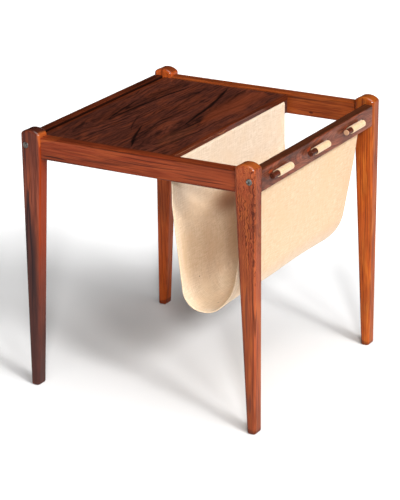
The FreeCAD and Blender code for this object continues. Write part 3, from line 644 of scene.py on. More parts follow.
ROSEWOOD_PIECES: dict[str, Rosewood] = {
    "leg_front_left": replace(
        LEG_WOOD,
        tones=Tones("804230", "673122", "452019", "2a1818", "9a4a2a"),
        glow_patch=12.0,
        seed=(0.0, 0.3, 0.1),
        veins=(
            # A dark lower half, two black lines and a pale spot at the shoulder, a painted highlight.
            Vein((-250, -7), (-60, -6), (150, -9), 44, 0.8, (0.1, 0.36), "32201f"),
            Vein((-120, -12), (40, -4), (140, -9), 5, 0.95),
            Vein((-40, -14), (60, -11), (150, -2), 6, 0.9),
            Vein((200, 17), (218, 17), (234, 15), 7, 0.5, (0.6, 0.1), "b8602c"),
        ),
        face_tints=(FaceTint("X", "862c05", 0.85, (-230, 120)), FaceTint("Z", "34170f", 0.75)),
    ),
    "leg_front_right": replace(
        LEG_WOOD,
        tones=Tones("ac5731", "964326", "491a0e", "331510", "bd662c"),
        seed=(0.4, 0.1, 0.6),
        ring=3.8,
        ring_depth=0.85,
        pore_depth=0.36,
        streak_depth=0.2,
        ripple=8.0,
        ripple_stretch=1.3,
        ripple_sway=6.0,
        ripple_span=(-40.0, 170.0),
        vein_sway=0.3,
        veins=(
            # A wash of brown on the lower half, the dark line of the corner and grey-brown flames.
            Vein((-270, 0), (-80, 0), (130, 0), 64, 0.4, (0.05, 0.4), "864023"),
            Vein((-235, 14), (0, 15), (228, 15.5), 3.5, 0.6, (0.2, 0.1)),
            Vein((-212, 0), (-184, 1), (-150, 3), 15, 0.85, (0.4, 0.4), "5f2f22"),
            Vein((-200, 8), (-176, 9), (-156, 9), 8, 0.7, (0.4, 0.4), "5f2f22"),
            Vein((-150, 2), (-110, -2), (-60, 1), 9, 0.7, (0.4, 0.4), "5f2f22"),
            Vein((-70, 5), (-20, 3), (40, 6), 8, 0.7, (0.4, 0.4), "5f2f22"),
            FOOT_SHADE,
        ),
        face_tints=(FaceTint("Z", "a2521f", 0.65),),
    ),
    "leg_back_left": replace(
        LEG_WOOD,
        seed=(0.7, 0.2, 0.2),
        face_tints=(FaceTint("Z", "5c2813", 0.75),),
    ),
    "leg_back_right": replace(
        LEG_WOOD,
        tones=Tones("ab511b", "903f15", "6a2a10", "40180c", "c2702a"),
        seed=(0.9, 0.5, 0.9),
        ring=4.0,
        sway=2.0,
        ring_depth=0.7,
        pore_depth=0.65,
        face_tints=(FaceTint("Z", "a3541e", 0.55),),
    ),
    "rail_front": replace(
        LONG_RAIL_WOOD,
        tones=Tones("8a3c1f", "7b2f16", "541f0d", "2c110a", "994721"),
        seed=(0.2, 0.8, 0.3),
        ring_depth=0.55,
        pore_depth=0.4,
        streak_depth=0.55,
        veins=(
            # Fine dark lines, dark edges, a pale spot on the upper edge by the left leg, a painted
            # highlight, and a lighter right half.
            Vein((-184, -13), (-160, -12), (-130, -14), 4, 0.9),
            Vein((-186, 12), (-174, 15), (-148, 18), 8, 0.4, (0.05, 0.6), "ba5c28"),
            Vein((60, -2), (110, -5), (175, -4), 4, 0.8),
            Vein((-60, 12), (40, 9), (150, 12), 3, 0.6),
            Vein((20, 0), (130, -2), (190, -3), 52, 0.22, (0.5, 0.1), "b0552f"),
            Vein((-188, -17), (0, -18), (186, -17), 5, 0.6, (0.05, 0.05)),
            Vein((-188, 17), (0, 17.5), (186, 17), 4, 0.6, (0.05, 0.05)),
            Vein((-90, 4), (10, 1), (120, 4), 2.5, 0.7),
            Vein((70, -9), (120, -10), (180, -8), 2.5, 0.7),
        ),
    ),
    "rail_back": replace(
        LONG_RAIL_WOOD,
        seed=(0.5, 0.4, 0.8),
        veins=(
            # A small knot and fine dark lines.
            Vein((95, -10), (100, -10), (105, -10), 5, 0.9),
            Vein((60, -6), (100, -8), (150, -5), 3, 0.6),
            Vein((-150, 14), (0, 13), (160, 14), 5, 0.6),
        ),
    ),
    "rail_left": replace(
        SIDE_RAIL_WOOD,
        seed=(0.1, 0.9, 0.5),
        # Its inner face, seen in the narrow gap beside the panel, is tinted near black as painted shade
        # in that gap.
        face_tints=(FaceTint("X", "100605", 0.85),),
    ),
    "rail_right": replace(
        SIDE_RAIL_WOOD,
        tones=Tones("884c36", "6e3a28", "3c1e16", "28140f", "96462a"),
        seed=(0.6, 0.7, 0.4),
        ring_depth=0.58,
        piths=((4.0, -9.0),),
        pith_dive=10.0,
        sway=7.0,
        wave_stretch=2.0,
        drift=26.0,
        face_tints=(FaceTint("Z", "40200f", 0.7),),
        veins=(
            # A dark front end, and red glints beside the slots.
            Vein((-206, -4), (-180, -5), (-110, -8), 46, 0.45, (0.05, 0.6)),
            Vein((-182, 5), (-174, 6), (-166, 6), 9, 0.75, (0.3, 0.3), "a2401e"),
            Vein((-48, 6), (-40, 7), (-32, 7), 9, 0.7, (0.3, 0.3), "a2401e"),
            Vein((90, 7), (98, 8), (106, 8), 8, 0.5, (0.3, 0.3), "8f3d22"),
        ),
    ),
    "panel_lipping_left": replace(
        LIPPING_WOOD,
        tones=LIPPING_WOOD.tones._replace(vein="9a4520"),
        seed=(0.8, 0.6, 0.7),
        pore_depth=0.0,
        streak_depth=0.0,
        veins=(
            # Places where the edge is worn pale.
            Vein((-40, 0), (-5, 1), (34, 0), 7, 0.85, (0.2, 0.2)),
            Vein((52, 1), (70, 0), (84, 1), 4, 0.6),
            Vein((-175, 2), (-150, 2), (-108, 1), 4, 0.6),
        ),
    ),
    "panel_lipping_right": replace(
        LIPPING_WOOD,
        tones=LIPPING_WOOD.tones._replace(vein="a06a46"),
        seed=(0.3, 0.5, 0.2),
        pore_depth=0.0,
        streak_depth=0.0,
        veins=(
            # Pale wear along the edge beside the sling.
            Vein((-195, 1.9), (-160, 2.2), (-118, 1.9), 1.5, 0.55, (0.2, 0.2)),
            Vein((-104, 1.7), (-84, 2.0), (-60, 2.2), 1.4, 0.5, (0.2, 0.2)),
            Vein((-54, 1.6), (-36, 0.2), (-16, 2.0), 1.6, 0.7, (0.2, 0.2)),
            Vein((-47, -0.8), (-36, -1.6), (-24, -0.9), 1.4, 0.65, (0.2, 0.2)),
            Vein((20, 2.0), (74, 2.3), (130, 2.0), 1.3, 0.4, (0.2, 0.2)),
        ),
    ),
    "peg_front": replace(PEG_WOOD, seed=(0.15, 0.35, 0.5)),
    "peg_middle": replace(PEG_WOOD, seed=(0.25, 0.45, 0.6)),
    "peg_back": replace(
        PEG_WOOD,
        seed=(0.35, 0.55, 0.7),
        # Its front end is scuffed down to pale wood.
        veins=(Vein((-34, 0), (-33, 0), (-31, 0), 40, 0.7, (0.2, 0.3), "d2a582"),),
    ),
    "panel_veneer_top": PANEL_VENEER,
    "panel_veneer_underside": replace(PANEL_VENEER, seed=(0.9, 0.2, 0.4), veins=()),
}


@dataclass(frozen=True)
class BareWood:
    """Bare wood, planed or pressed and left unfinished.

    It gives the eye a dry, pale, flat surface with short flecks: fine and long in beech, round and coarse
    in chipboard. Flecks are drawn about twice their real size so that they show.
    """

    name: str
    light: str
    dark: str
    fleck: float
    stretch: Point3
    roughness: float = 0.7
    fleck_edges: Point2 = (0.38, 0.66)
    fleck_dulling: float = 0.15
    relief: float = 0.2

    def make(self) -> Material:
        """Make this finish.

        Returns:
            The material.
        """
        material, tree, shader = start_material(self.name, {"IOR": 1.5, "Specular IOR Level": 0.3})
        place = add_node(tree, "TexCoord", gives="Object")
        drawn = add_node(tree, "VectorMath", {0: place, 1: self.stretch}, operation="MULTIPLY")
        chips = {"Vector": drawn, "Scale": per_mm(self.fleck), "Detail": 3.0, "Roughness": 0.6}
        noise = add_node(tree, "TexNoise", chips)
        flecks = add_node(tree, "MapRange", {0: noise, 1: self.fleck_edges[0], 2: self.fleck_edges[1]})
        dulling = {0: flecks, 3: self.roughness, 4: self.roughness + self.fleck_dulling}
        relief = {"Strength": 0.3, "Distance": self.relief * MM, "Height": flecks}
        join_shader(shader, paint(tree, self.light, [(flecks, self.dark)]), dulling, relief)
        return material


@dataclass(frozen=True)
class DullSteel:
    """Plain steel, turned and gone dull with handling.

    It gives the eye a grey metal with fine turning marks and brown-grey clouds of old tarnish.
    """

    name: str = "dull turned steel"
    bright: str = "8f8c88"
    tarnish: str = "4a443e"
    cloud: float = 4.0
    cloud_edges: Point2 = (0.4, 0.65)
    cloud_dulling: float = 0.2
    turning: float = 0.6
    relief: float = 0.05
    roughness: float = 0.42

    def make(self) -> Material:
        """Make this finish.

        Returns:
            The material.
        """
        material, tree, shader = start_material(self.name, {"Metallic": 1.0})
        place = add_node(tree, "TexCoord", gives="Object")
        clouding = {"Vector": place, "Scale": per_mm(self.cloud), "Detail": 4.0, "Roughness": 0.6}
        noise = add_node(tree, "TexNoise", clouding)
        clouds = add_node(tree, "MapRange", {0: noise, 1: self.cloud_edges[0], 2: self.cloud_edges[1]})
        marks = {"Vector": place, "Scale": per_mm(self.turning), "Detail": 1.0}
        turned = add_node(tree, "TexNoise", marks)
        dulling = {0: clouds, 3: self.roughness, 4: self.roughness + self.cloud_dulling}
        relief = {"Strength": 0.2, "Distance": self.relief * MM, "Height": turned}
        join_shader(shader, paint(tree, self.bright, [(clouds, self.tarnish)]), dulling, relief)
        return material


@dataclass(frozen=True)
class Canvas:
    """Natural cotton canvas in a plain weave, washed soft and showing a little age.

    It gives the eye a matt cream with slubs, which are the thick places in a spun thread, along both sets
    of threads, and faint clouds. Threads are really about 0.7 mm apart and are drawn at thread, which is
    as coarse as they need to show. The wall tints, at places along the cloth, are painted shade and
    light:
    cooler and a little darker high on the inner wall, and darker low in the pocket. The outer wall and
    the loops take a warmer, darker tint. The front hem takes only the lit hem share of the tints, so it
    shows lighter, as painted light. A patch deep in the pocket, below the front rail, is darkened as a
    painted shadow. Specks are places along and across the cloth, with a size.
    """

    name: str = "natural cotton canvas"
    light: str = "f0dabf"
    shade: str = "d8be9c"
    cloud_colour: str = "e4c8a5"
    # Tints along the cloth, painted light and shade set wall by wall; the front hem takes only a share of
    # them, so it shows lighter as painted light.
    wall_tints: tuple[tuple[float, str], ...] = (
        (0.0, "f0f1f6"),
        (100.0, "f0f1f6"),
        (139.0, "fffaf4"),
        (190.0, "eae0d3"),
        (225.0, "eae0d3"),
        (265.0, "ffffff"),
        (325.0, "fff9ee"),
        (380.0, "eadbc8"),
        (600.0, "eadbc8"),
    )
    lit_hem_span: Point2 = (-194.0, -182.0)
    lit_hem_share: float = 0.3
    # A painted shadow deep in the pocket, below the front rail: its middle along and across the cloth,
    # its reach, its fade and its tint.
    pocket_shade_place: Point3 = (150.0, 0.0, 0.0)
    pocket_shade_reach: Point2 = (29.0, 90.0)
    pocket_shade_edges: Point2 = (0.2, 1.3)
    pocket_shade_tint: str = "b48c66"
    thread: float = 2.0
    thread_edges: Point2 = (0.78, 1.22)
    thread_dulling: float = -0.1
    slub_stretch: float = 9.0
    relief: float = 0.35
    cloud: float = 55.0
    cloud_edges: Point2 = (0.45, 0.7)
    cloud_depth: float = 0.8
    roughness: float = 0.92
    specks: tuple[Point3, ...] = ((249.0, -147.0, 2.0), (312.0, -156.0, 1.6))
    speck_colour: str = "5e3f28"
    speck_heart: float = 0.3
    speck_depth: float = 0.75

    def make(self) -> Material:
        """Make this finish, which follows the cloth's own threads.

        Returns:
            The material, for a mesh that holds its weave attribute.
        """
        constants = {"IOR": 1.45, "Specular IOR Level": 0.2, "Sheen Weight": 0.25, "Sheen Roughness": 0.6}
        material, tree, shader = start_material(self.name, constants)
        weave = add_node(tree, "Attribute", gives="Vector", attribute_name=WEAVE)
        slubs = []
        for stretch in ((1 / self.slub_stretch, 1.0, 1.0), (1.0, 1 / self.slub_stretch, 1.0)):
            drawn = add_node(tree, "VectorMath", {0: weave, 1: stretch}, operation="MULTIPLY")
            spun = {"Vector": drawn, "Scale": per_mm(self.thread), "Detail": 2.0, "Roughness": 0.6}
            slubs.append(add_node(tree, "TexNoise", spun))
        both = add_node(tree, "Math", {0: slubs[0], 1: slubs[1]}, operation="ADD")
        threads = add_node(tree, "MapRange", {0: both, 1: self.thread_edges[0], 2: self.thread_edges[1]})
        haze = {"Vector": weave, "Scale": per_mm(self.cloud), "Detail": 4.0, "Roughness": 0.6}
        faint, full = self.cloud_edges
        hazy = {0: add_node(tree, "TexNoise", haze), 1: faint, 2: full, 4: self.cloud_depth}
        clouds = add_node(tree, "MapRange", hazy)
        woven = paint(tree, self.shade, [(threads, self.light), (clouds, self.cloud_colour)])
        # The wall tints and the pocket's painted shadow multiply the woven colour.
        tints = (self._wall_tint(tree, weave), self._pocket_shade(tree, weave))
        shaded_cloth = paint(tree, woven, tints, blend_type="MULTIPLY")
        dulling = {0: threads, 3: self.roughness, 4: self.roughness + self.thread_dulling}
        relief = {"Strength": 0.55, "Distance": self.relief * MM, "Height": both}
        join_shader(shader, paint(tree, shaded_cloth, self._specks(tree, weave)), dulling, relief)
        return material

    def _wall_tint(self, tree: Tree, weave: Socket) -> Layer:
        """Tint the cloth along its length with painted light and shade, less on its front hem so that it
        shows lighter.

        Args:
            tree: The material's node tree.
            weave: Place on the cloth along its length and width.

        Returns:
            How much of the tint shows, and the tint.
        """
        places = add_node(tree, "SeparateXYZ", {0: weave}).node.outputs
        whole = self.wall_tints[-1][0]
        share = add_node(tree, "MapRange", {0: places["X"], 2: whole * MM})
        tint = add_node(tree, "ValToRGB", {0: share})
        stops = tint.node.color_ramp.elements
        for place, _ in self.wall_tints[1:-1]:
            stops.new(place / whole)
        for stop, (_, colour) in zip(stops, self.wall_tints):
            stop.color = to_linear(colour)
        inward = {0: places["Y"], 1: self.lit_hem_span[0] * MM, 2: self.lit_hem_span[1] * MM, 3: self.lit_hem_share}
        return add_node(tree, "MapRange", inward, **SMOOTH), tint

    def _pocket_shade(self, tree: Tree, weave: Socket) -> Layer:
        """Find the patch deep in the pocket that is darkened as a painted shadow.

        Args:
            tree: The material's node tree.
            weave: Place on the cloth along its length and width.

        Returns:
            How much the patch shows, and its tint.
        """
        middle = tuple(-value * MM for value in self.pocket_shade_place)
        moved = add_node(tree, "VectorMath", {0: weave, 1: middle}, operation="ADD")
        reach = (per_mm(self.pocket_shade_reach[0]), per_mm(self.pocket_shade_reach[1]), 0.0)
        rounded = add_node(tree, "VectorMath", {0: moved, 1: reach}, operation="MULTIPLY")
        away = add_node(tree, "VectorMath", {0: rounded}, "Value", operation="LENGTH")
        faded = {0: away, 1: self.pocket_shade_edges[0], 2: self.pocket_shade_edges[1], 3: 1.0, 4: 0.0}
        return add_node(tree, "MapRange", faded, **SMOOTH), self.pocket_shade_tint

    def _specks(self, tree: Tree, weave: Socket) -> list[Layer]:
        """Find the dark specks of seed husk in the cotton.

        Args:
            tree: The material's node tree.
            weave: Place on the cloth along its length and width.

        Returns:
            A mask and a colour for each speck.
        """
        spots = []
        for along, across, size in self.specks:
            gap = {0: weave, 1: (along * MM, across * MM, 0.0)}
            away = add_node(tree, "VectorMath", gap, "Value", operation="DISTANCE")
            spot = {0: away, 1: size * MM * self.speck_heart, 2: size * MM, 3: self.speck_depth, 4: 0.0}
            spots.append((add_node(tree, "MapRange", spot, **SMOOTH), self.speck_colour))
        return spots


def rounded_line(corners: Sequence[Point2], radii: Sequence[float], step: float) -> np.ndarray:
    """Round the corners of a line and divide it evenly.

    Args:
        corners: The line's corners, in millimetres.
        radii: The rounding of each corner but the first and last.
        step: Distance between the points that are given back.

    Returns:
        Points along the rounded line, evenly spaced.
    """
    # Each point is a complex number here, so that a turn is a product.
    ends = [complex(*corner) for corner in corners]
    points = [ends[0]]
    for before, here, after, radius in zip(ends, ends[1:], ends[2:], radii):
        back = (before - here) / abs(before - here)
        ahead = (after - here) / abs(after - here)
        half = abs(np.angle(ahead / back)) / 2
        middle = here + (back + ahead) / abs(back + ahead) * radius / math.sin(half)
        first, last = (here + way * radius / math.tan(half) - middle for way in (back, ahead))
        turns = np.linspace(0, np.angle(last / first), ARC_POINTS)
        points.extend(middle + first * np.exp(1j * turns))
    points.append(ends[-1])
    return divide_line(np.stack([np.real(points), np.imag(points)], axis=1), step)


def divide_line(points: np.ndarray, step: float) -> np.ndarray:
    """Divide a line of straight runs evenly.

    Args:
        points: The line's points.
        step: About the distance between the points that are given back.

    Returns:
        Evenly spaced points along the line.
    """
    runs = np.linalg.norm(np.diff(points, axis=0), axis=1)
    kept = np.concatenate([[True], runs > SAME_PLACE])
    points = points[kept]
    lengths = np.concatenate([[0], np.cumsum(runs[kept[1:]])])
    places = np.linspace(0, lengths[-1], max(2, round(lengths[-1] / step)) + 1)
    return np.stack([np.interp(places, lengths, points[:, axis]) for axis in (0, 1)], axis=1)


def line_length(line: np.ndarray) -> float:
    """Give the length of a line of points."""
    return float(np.linalg.norm(np.diff(line, axis=0), axis=1).sum())


def soft_step(value: np.ndarray, start: float, end: float) -> np.ndarray:
    """Rise smoothly from 0 at start to 1 at end."""
    share = np.clip((value - start) / (end - start), 0, 1)
    return share * share * (3 - 2 * share)


@dataclass
class ClothStrip:
    """A strip of canvas that follows a line in the XZ plane and runs straight along Y.

    The line runs through the middle of the cloth, whose outer side is on the line's right. The hem edge
    is half the width of the step at a hem, the hem room is kept clear beside it, and the rim places are
    where the cloth is divided close to an edge: one for a plain edge and two for a hem. The weave start
    is where along the canvas the strip is cut, so that it takes that place's tint.
    """

    name: str
    stands_for: str
    thickness: float
    hem_width: float = 0.0
    hem_layers: float = 1.0
    hem_edge: float = 0.6
    hem_room: float = 2.0
    rim_places: Point3 = (0.3, 0.4, 1.2)
    rim_bulge: float = 0.3
    across_step: float = 4.0
    weave_start: float = 0.0
    line: np.ndarray = field(init=False)
    front: float = field(init=False)
    back: float = field(init=False)

    def sway(self, along: np.ndarray, across: np.ndarray) -> np.ndarray:
        """Give how far the cloth stands out from its line; a plain strip does not."""
        return np.zeros(np.broadcast(along, across).shape)

    def flat_size(self) -> Point2:
        """Give the size the cloth is cut to, width and length in metres."""
        return (self.back - self.front) * MM, line_length(self.line) * MM

    def places_across(self) -> np.ndarray:
        """Give the places across the strip, closer together at its edges.

        Returns:
            The places, from the front.
        """
        width, hem = self.back - self.front, self.hem_width
        inner = np.linspace(0, width, max(2, round(width / self.across_step)) + 1)
        plain, outer, next_in = self.rim_places
        if not hem:
            return np.unique(np.concatenate([inner, [plain, width - plain]])) + self.front
        edge = np.array([0.0, outer, next_in, hem / 2, hem - self.hem_edge, hem + self.hem_edge])
        clear = hem + self.hem_room
        middle = inner[(inner > clear) & (inner < width - clear)]
        return np.concatenate([edge, middle, width - edge[::-1]]) + self.front

    def surfaces(self) -> tuple[np.ndarray, np.ndarray, np.ndarray, np.ndarray]:
        """Work out the strip's two sides.

        Returns:
            Points of the inner side, points of the outer side, lengths along the line, places across it.
        """
        across = self.places_across()
        lengths = np.concatenate([[0], np.cumsum(np.linalg.norm(np.diff(self.line, axis=0), axis=1))])
        tangents = np.gradient(self.line, lengths, axis=0)
        tangents /= np.linalg.norm(tangents, axis=1)[:, None]
        outward = np.stack([tangents[:, 1], -tangents[:, 0]], axis=1)[:, None, :]
        s, y = np.meshgrid(lengths, across, indexing="ij")
        inset = np.minimum(y - self.front, self.back - y)
        folded = 1 - soft_step(inset, self.hem_width - self.hem_edge, self.hem_width + self.hem_edge)
        half = self.thickness / 2
        middle = self.line[:, None, :] + outward * self.sway(s, y)[..., None]
        layers = half + self.thickness * (self.hem_layers - 1) * folded
        sides = []
        for side in (middle - outward * layers[..., None], middle + outward * half):
            sides.append(np.stack([side[..., 0], y, side[..., 1]], axis=-1))
        return sides[0], sides[1], lengths, across

    def build(self, cloth: Material) -> Piece:
        """Make the strip as a closed mesh with rounded edges and a map of its threads, and hang it.

        Args:
            cloth: Its finish.

        Returns:
            The piece.
        """
        inner, outer, lengths, across = self.surfaces()
        count = len(across)
        bulge = np.array([0, self.thickness * self.rim_bulge, 0])
        back_rim = (inner[:, -1:] + outer[:, -1:]) / 2 + bulge
        front_rim = (inner[:, :1] + outer[:, :1]) / 2 - bulge
        rows = np.concatenate([inner, back_rim, outer[:, ::-1], front_rim], axis=1)
        ring = rows.shape[1]
        faces = []
        for i in range(len(lengths) - 1):
            for k in range(ring):
                n = (k + 1) % ring
                faces.append((i * ring + k, (i + 1) * ring + k, (i + 1) * ring + n, i * ring + n))
        cap = [(k, k + 1, 2 * count - k - 1, 2 * count - k) for k in range(count - 1)]
        cap += [(count - 1, count, count + 1), (0, 2 * count, 2 * count + 1)]
        last = (len(lengths) - 1) * ring
        faces += cap
        faces += [[last + k for k in reversed(face)] for face in cap]
        piece = mesh_piece(self.name, rows.reshape(-1, 3), faces)
        weave = np.zeros((len(lengths), ring, 3))
        weave[..., 0] = lengths[:, None] + self.weave_start
        weave[..., 1] = np.concatenate([across, [self.back], across[::-1], [self.front]])
        threads = piece.data.attributes.new(WEAVE, "FLOAT_VECTOR", "POINT")
        threads.data.foreach_set("vector", (weave * MM).astype(np.float32).ravel())
        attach(piece, "table")
        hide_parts(self.stands_for)
        piece.data.materials.append(cloth)
        LOG.info("sewed %s: %d faces", self.name, len(faces))
        return piece


@dataclass
class StitchRow:
    """Rows of sewing stitches, each a short thread that dips into the cloth at both ends.

    A row keeps its inset from the edge of the hem, starts where the cloth is out of its fold and stops
    short of its end. The tip is the share of a thread's thickness left at the ends of a stitch, squared,
    and the lift is how far its middle stands up, as a share of the thickness.
    """

    name: str
    thread: float = 0.7
    length: float = 4.2
    spacing: float = 5.2
    inset: float = 2.2
    start: float = 40.0
    stop: float = 6.0
    sink: float = 0.25
    lift: float = 0.2
    tip: float = 0.12
    sides: int = 8
    rings: int = 5

    def build(self, middles: np.ndarray, runs: np.ndarray, lifts: np.ndarray) -> Piece:
        """Make all the stitches as one mesh.

        Args:
            middles: The middle of each stitch, on the cloth's surface.
            runs: The direction of each stitch.
            lifts: The direction away from the cloth at each stitch.

        Returns:
            The piece.
        """
        shares = np.linspace(-1, 1, self.rings)
        turns = np.linspace(0, math.tau, self.sides, endpoint=False)
        points, faces = [], []
        for middle, run, lift in zip(middles, runs, lifts):
            run = run / np.linalg.norm(run)
            lift = lift - run * (lift @ run)
            lift = lift / np.linalg.norm(lift)
            side = np.cross(run, lift)
            base = len(points)
            for share in shares:
                radius = self.thread / 2 * math.sqrt(max(self.tip, 1 - share * share * (1 - self.tip)))
                height = self.thread * self.lift - self.sink * share * share
                centre = middle + run * share * self.length / 2 + lift * height
                for turn in turns:
                    points.append(centre + (side * math.cos(turn) + lift * math.sin(turn)) * radius)
            for low in range(base, base + (self.rings - 1) * self.sides, self.sides):
                high = low + self.sides
                for k in range(self.sides):
                    n = (k + 1) % self.sides
                    faces.append((low + n, low + k, high + k, high + n))
            faces.append(range(base, base + self.sides))
            faces.append(range(len(points) - 1, len(points) - 1 - self.sides, -1))
        return mesh_piece(self.name, np.array(points), faces)


@dataclass
class Sling(ClothStrip):
    """The magazine sling: one length of canvas, folded over the cross rail and hung from the loops.

    Corner shares are places of the pocket's corners across the opening and down to its bottom. The cloth
    starts to hang free over the free span. Over the held span, counted back from its end, it is held
    again, and over the slack span, counted the same way, it hangs slack between the loops. Folds are its
    soft waves: strength, length across and along, and start.
    """

    name: str = "canvas_sling"
    stands_for: str = "sling_canvas"
    thickness: float = 1.2
    hem_width: float = 9.0
    hem_layers: float = 1.9
    corner_shares: tuple[Point2, ...] = ((0.0, 0.33), (0.15, 1.0), (0.505, 1.0), (0.76, 0.866))
    rounding_shares: tuple[float, ...] = (0.60, 0.23, 0.30, 0.60, 0.12)
    lap_above_cross_rail: float = 2.0
    top_below_rail: float = 20.7
    shoulder_below_top: float = 20.3
    fold_rounding: float = 2.3
    step: float = 3.5
    belly: float = 0.9
    folds: tuple[tuple[float, float, float, float], ...] = (
        (1.0, 118 / math.pi, 150.0, 0.0),
        (0.6, 61.0, 95.0, 1.3),
    )
    free_span: Point2 = (95.0, 190.0)
    held_span: Point2 = (20.0, 70.0)
    slack: float = 2.2
    slack_span: Point2 = (10.0, 90.0)
    loop_spacing: float = 133.0

    def __post_init__(self) -> None:
        """Lay the sling's line between the cross rail and the right rail."""
        low, high = box_mm(self.stands_for)
        half = self.thickness / 2
        self.front, self.back = float(low[1]), float(high[1])
        left = float(box_mm("panel_lipping_right")[1][0]) - half
        right = float(high[0]) - half
        fold = float(high[2]) - half
        lap = float(low[0]) + half
        lap_end = float(box_mm("cross_rail")[0][2]) + self.lap_above_cross_rail
        rail_top = float(box_mm("rail_right")[1][2])
        drop = rail_top - float(low[2]) - half
        span = right - left
        top = rail_top - self.top_below_rail
        corners = [(lap, lap_end), (lap, fold), (left, fold)]
        corners += [(left + span * across, rail_top - drop * down) for across, down in self.corner_shares]
        corners += [(right, top - self.shoulder_below_top), (right, top)]
        radii = [self.fold_rounding] * 2 + [span * share for share in self.rounding_shares]
        self.line = rounded_line(corners, radii, self.step)

    def sway(self, along: np.ndarray, across: np.ndarray) -> np.ndarray:
        """Let the cloth belly between its fixings.

        Args:
            along: Distance along the sling's line.
            across: Place across it.

        Returns:
            How far the cloth stands outwards.
        """
        to_end = line_length(self.line) - along
        free = soft_step(along, *self.free_span) * soft_step(to_end, *self.held_span)
        waves = sum(
            size * np.sin(across / wide + along / long + start)
            for size, wide, long, start in self.folds
        )
        top = 1 - soft_step(to_end, *self.slack_span)
        between_loops = (1 - np.cos(across / self.loop_spacing * math.tau)) / 2
        return self.belly * waves * free - self.slack * top * between_loops

    def sew_hems(self, row: StitchRow, thread: Material) -> Piece:
        """Sew the hems along the front and back edges, on both sides of the cloth.

        Args:
            row: The kind of stitch.
            thread: Its finish.

        Returns:
            The stitches as one piece.
        """
        inner, outer, lengths, across = self.surfaces()
        places = np.arange(row.start, lengths[-1] - row.stop, row.spacing)
        middles, runs, lifts = [], [], []
        seam = self.hem_width - row.inset
        for inset in (seam, self.back - self.front - seam):
            column = int(np.argmin(np.abs(across - self.front - inset)))
            for side, other in ((inner, outer), (outer, inner)):
                track = side[:, column]
                heads = np.gradient(track, axis=0)
                lift = track - other[:, column]
                for table, values in ((middles, track), (runs, heads), (lifts, lift)):
                    table.append(np.stack([np.interp(places, lengths, v) for v in values.T], axis=1))
        piece = row.build(*(np.concatenate(table) for table in (middles, runs, lifts)))
        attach(piece, "table")
        piece.data.materials.append(thread)
        LOG.info("sewed %s: %d stitches", row.name, 4 * len(places))
        return piece


@dataclass
class HangingLoop(ClothStrip):
    """A loop of canvas tape: sewn to the sling, through the rail's slot, round a peg and back.

    The under and over turns are the tape's rounding where it enters the slot, as steps from the lines
    that it turns between, and the tuck is how much shorter its second end is.
    """

    thickness: float = 1.1
    across_step: float = 3.0
    weave_start: float = 400.0
    peg: str = ""
    ring_points: int = 40
    step: float = 1.2
    layer_gap: float = 0.05
    under_turn: Point2 = (2.5, 0.7)
    over_turn: Point3 = (0.9, 0.8, 3.0)
    tuck: float = 0.8

    def __post_init__(self) -> None:
        """Lay the tape's line from the sling round the peg."""
        low, high = box_mm(self.stands_for)
        self.front, self.back = float(low[1]), float(high[1])
        peg_x, _, peg_z = sum(box_mm(self.peg)) / 2
        radius = float(high[0]) - peg_x - self.thickness / 2
        lap = float(low[0]) + self.thickness / 2
        foot = float(low[2])
        layer = self.thickness / 2 + self.layer_gap
        open_angle = math.asin(layer / radius)
        angles = np.linspace(math.pi + open_angle, 3 * math.pi - open_angle, self.ring_points)
        ring = np.stack([peg_x + radius * np.cos(angles), peg_z + radius * np.sin(angles)], axis=1)
        below, above = peg_z - layer, peg_z + layer
        wide, near = self.under_turn
        under = [(lap, foot), (lap, below - wide), (lap + near, below - near), (lap + wide, below)]
        inside = lap - self.thickness - self.layer_gap
        aside, dip, fall = self.over_turn
        over = [(lap + wide, above), (inside + aside, above - dip)]
        over += [(inside, above - fall), (inside, foot + self.tuck)]
        self.line = divide_line(np.concatenate([under, ring, over]), self.step)


@dataclass
class MagazineSling:
    """The cloth half of the table: the sling, its hems and the three loops that hang it."""

    canvas: Canvas = Canvas()
    positions: tuple[str, ...] = ("front", "middle", "back")

    def build(self) -> None:
        """Make and dress every cloth piece."""
        cloth = self.canvas.make()
        sling = Sling()
        piece = sling.build(cloth)
        hems = sling.sew_hems(StitchRow("sling_hem_stitches"), cloth)
        sling.flat_size()
        for position in self.positions:
            loop = HangingLoop(f"canvas_loop_{position}", f"sling_loop_{position}", peg=f"peg_{position}")
            loop.build(cloth)
            loop.flat_size()


@dataclass
class Woodwork:
    """The rosewood frame and panel, with the bare wood hidden inside them."""

    pieces: Mapping[str, Rosewood] = field(default_factory=lambda: ROSEWOOD_PIECES)
    beech: BareWood = BareWood("bare planed beech", "cfa878", "b98f60", 1.6, (1.0, 0.08, 1.0))
    stained: BareWood = BareWood("beech stained dark", "54281a", "3a190f", 1.6, (1.0, 0.08, 1.0))
    chipboard: BareWood = BareWood("bare chipboard", "b99a6b", "8d6e45", 3.0, (1.0, 1.0, 1.0), 0.85)
    cleats: tuple[str, ...] = ("cleat_front", "cleat_back", "cleat_left")
    dowels: tuple[str, ...] = ("long_rail_dowels", "side_rail_dowels", "cross_rail_dowels")

    def dress(self) -> None:
        """Give every wooden CAD node its finish."""
        for node, finish in self.pieces.items():
            dress_node(node, finish.make(node))
        beech = self.beech.make()
        for node in self.cleats + self.dowels:
            dress_node(node, beech)
        dress_node("cross_rail", self.stained.make())
        dress_node("panel_core", self.chipboard.make())


@dataclass
class Ironmongery:
    """The bolts, nuts, screws and tacks."""

    steel: DullSteel = DullSteel()
    nodes: tuple[str, ...] = ("frame_bolts", "barrel_nuts", "cleat_screws", "panel_screws", "sling_tacks")

    def dress(self) -> None:
        """Give every steel CAD node its finish."""
        steel = self.steel.make()
        for node in self.nodes:
            dress_node(node, steel)


def way_to(azimuth: float, elevation: float) -> Vector:
    """Give the direction from the table, by degrees round from its front and degrees up."""
    yaw, pitch = math.radians(azimuth), math.radians(elevation)
    return Vector((math.sin(yaw) * math.cos(pitch), -math.cos(yaw) * math.cos(pitch), math.sin(pitch)))


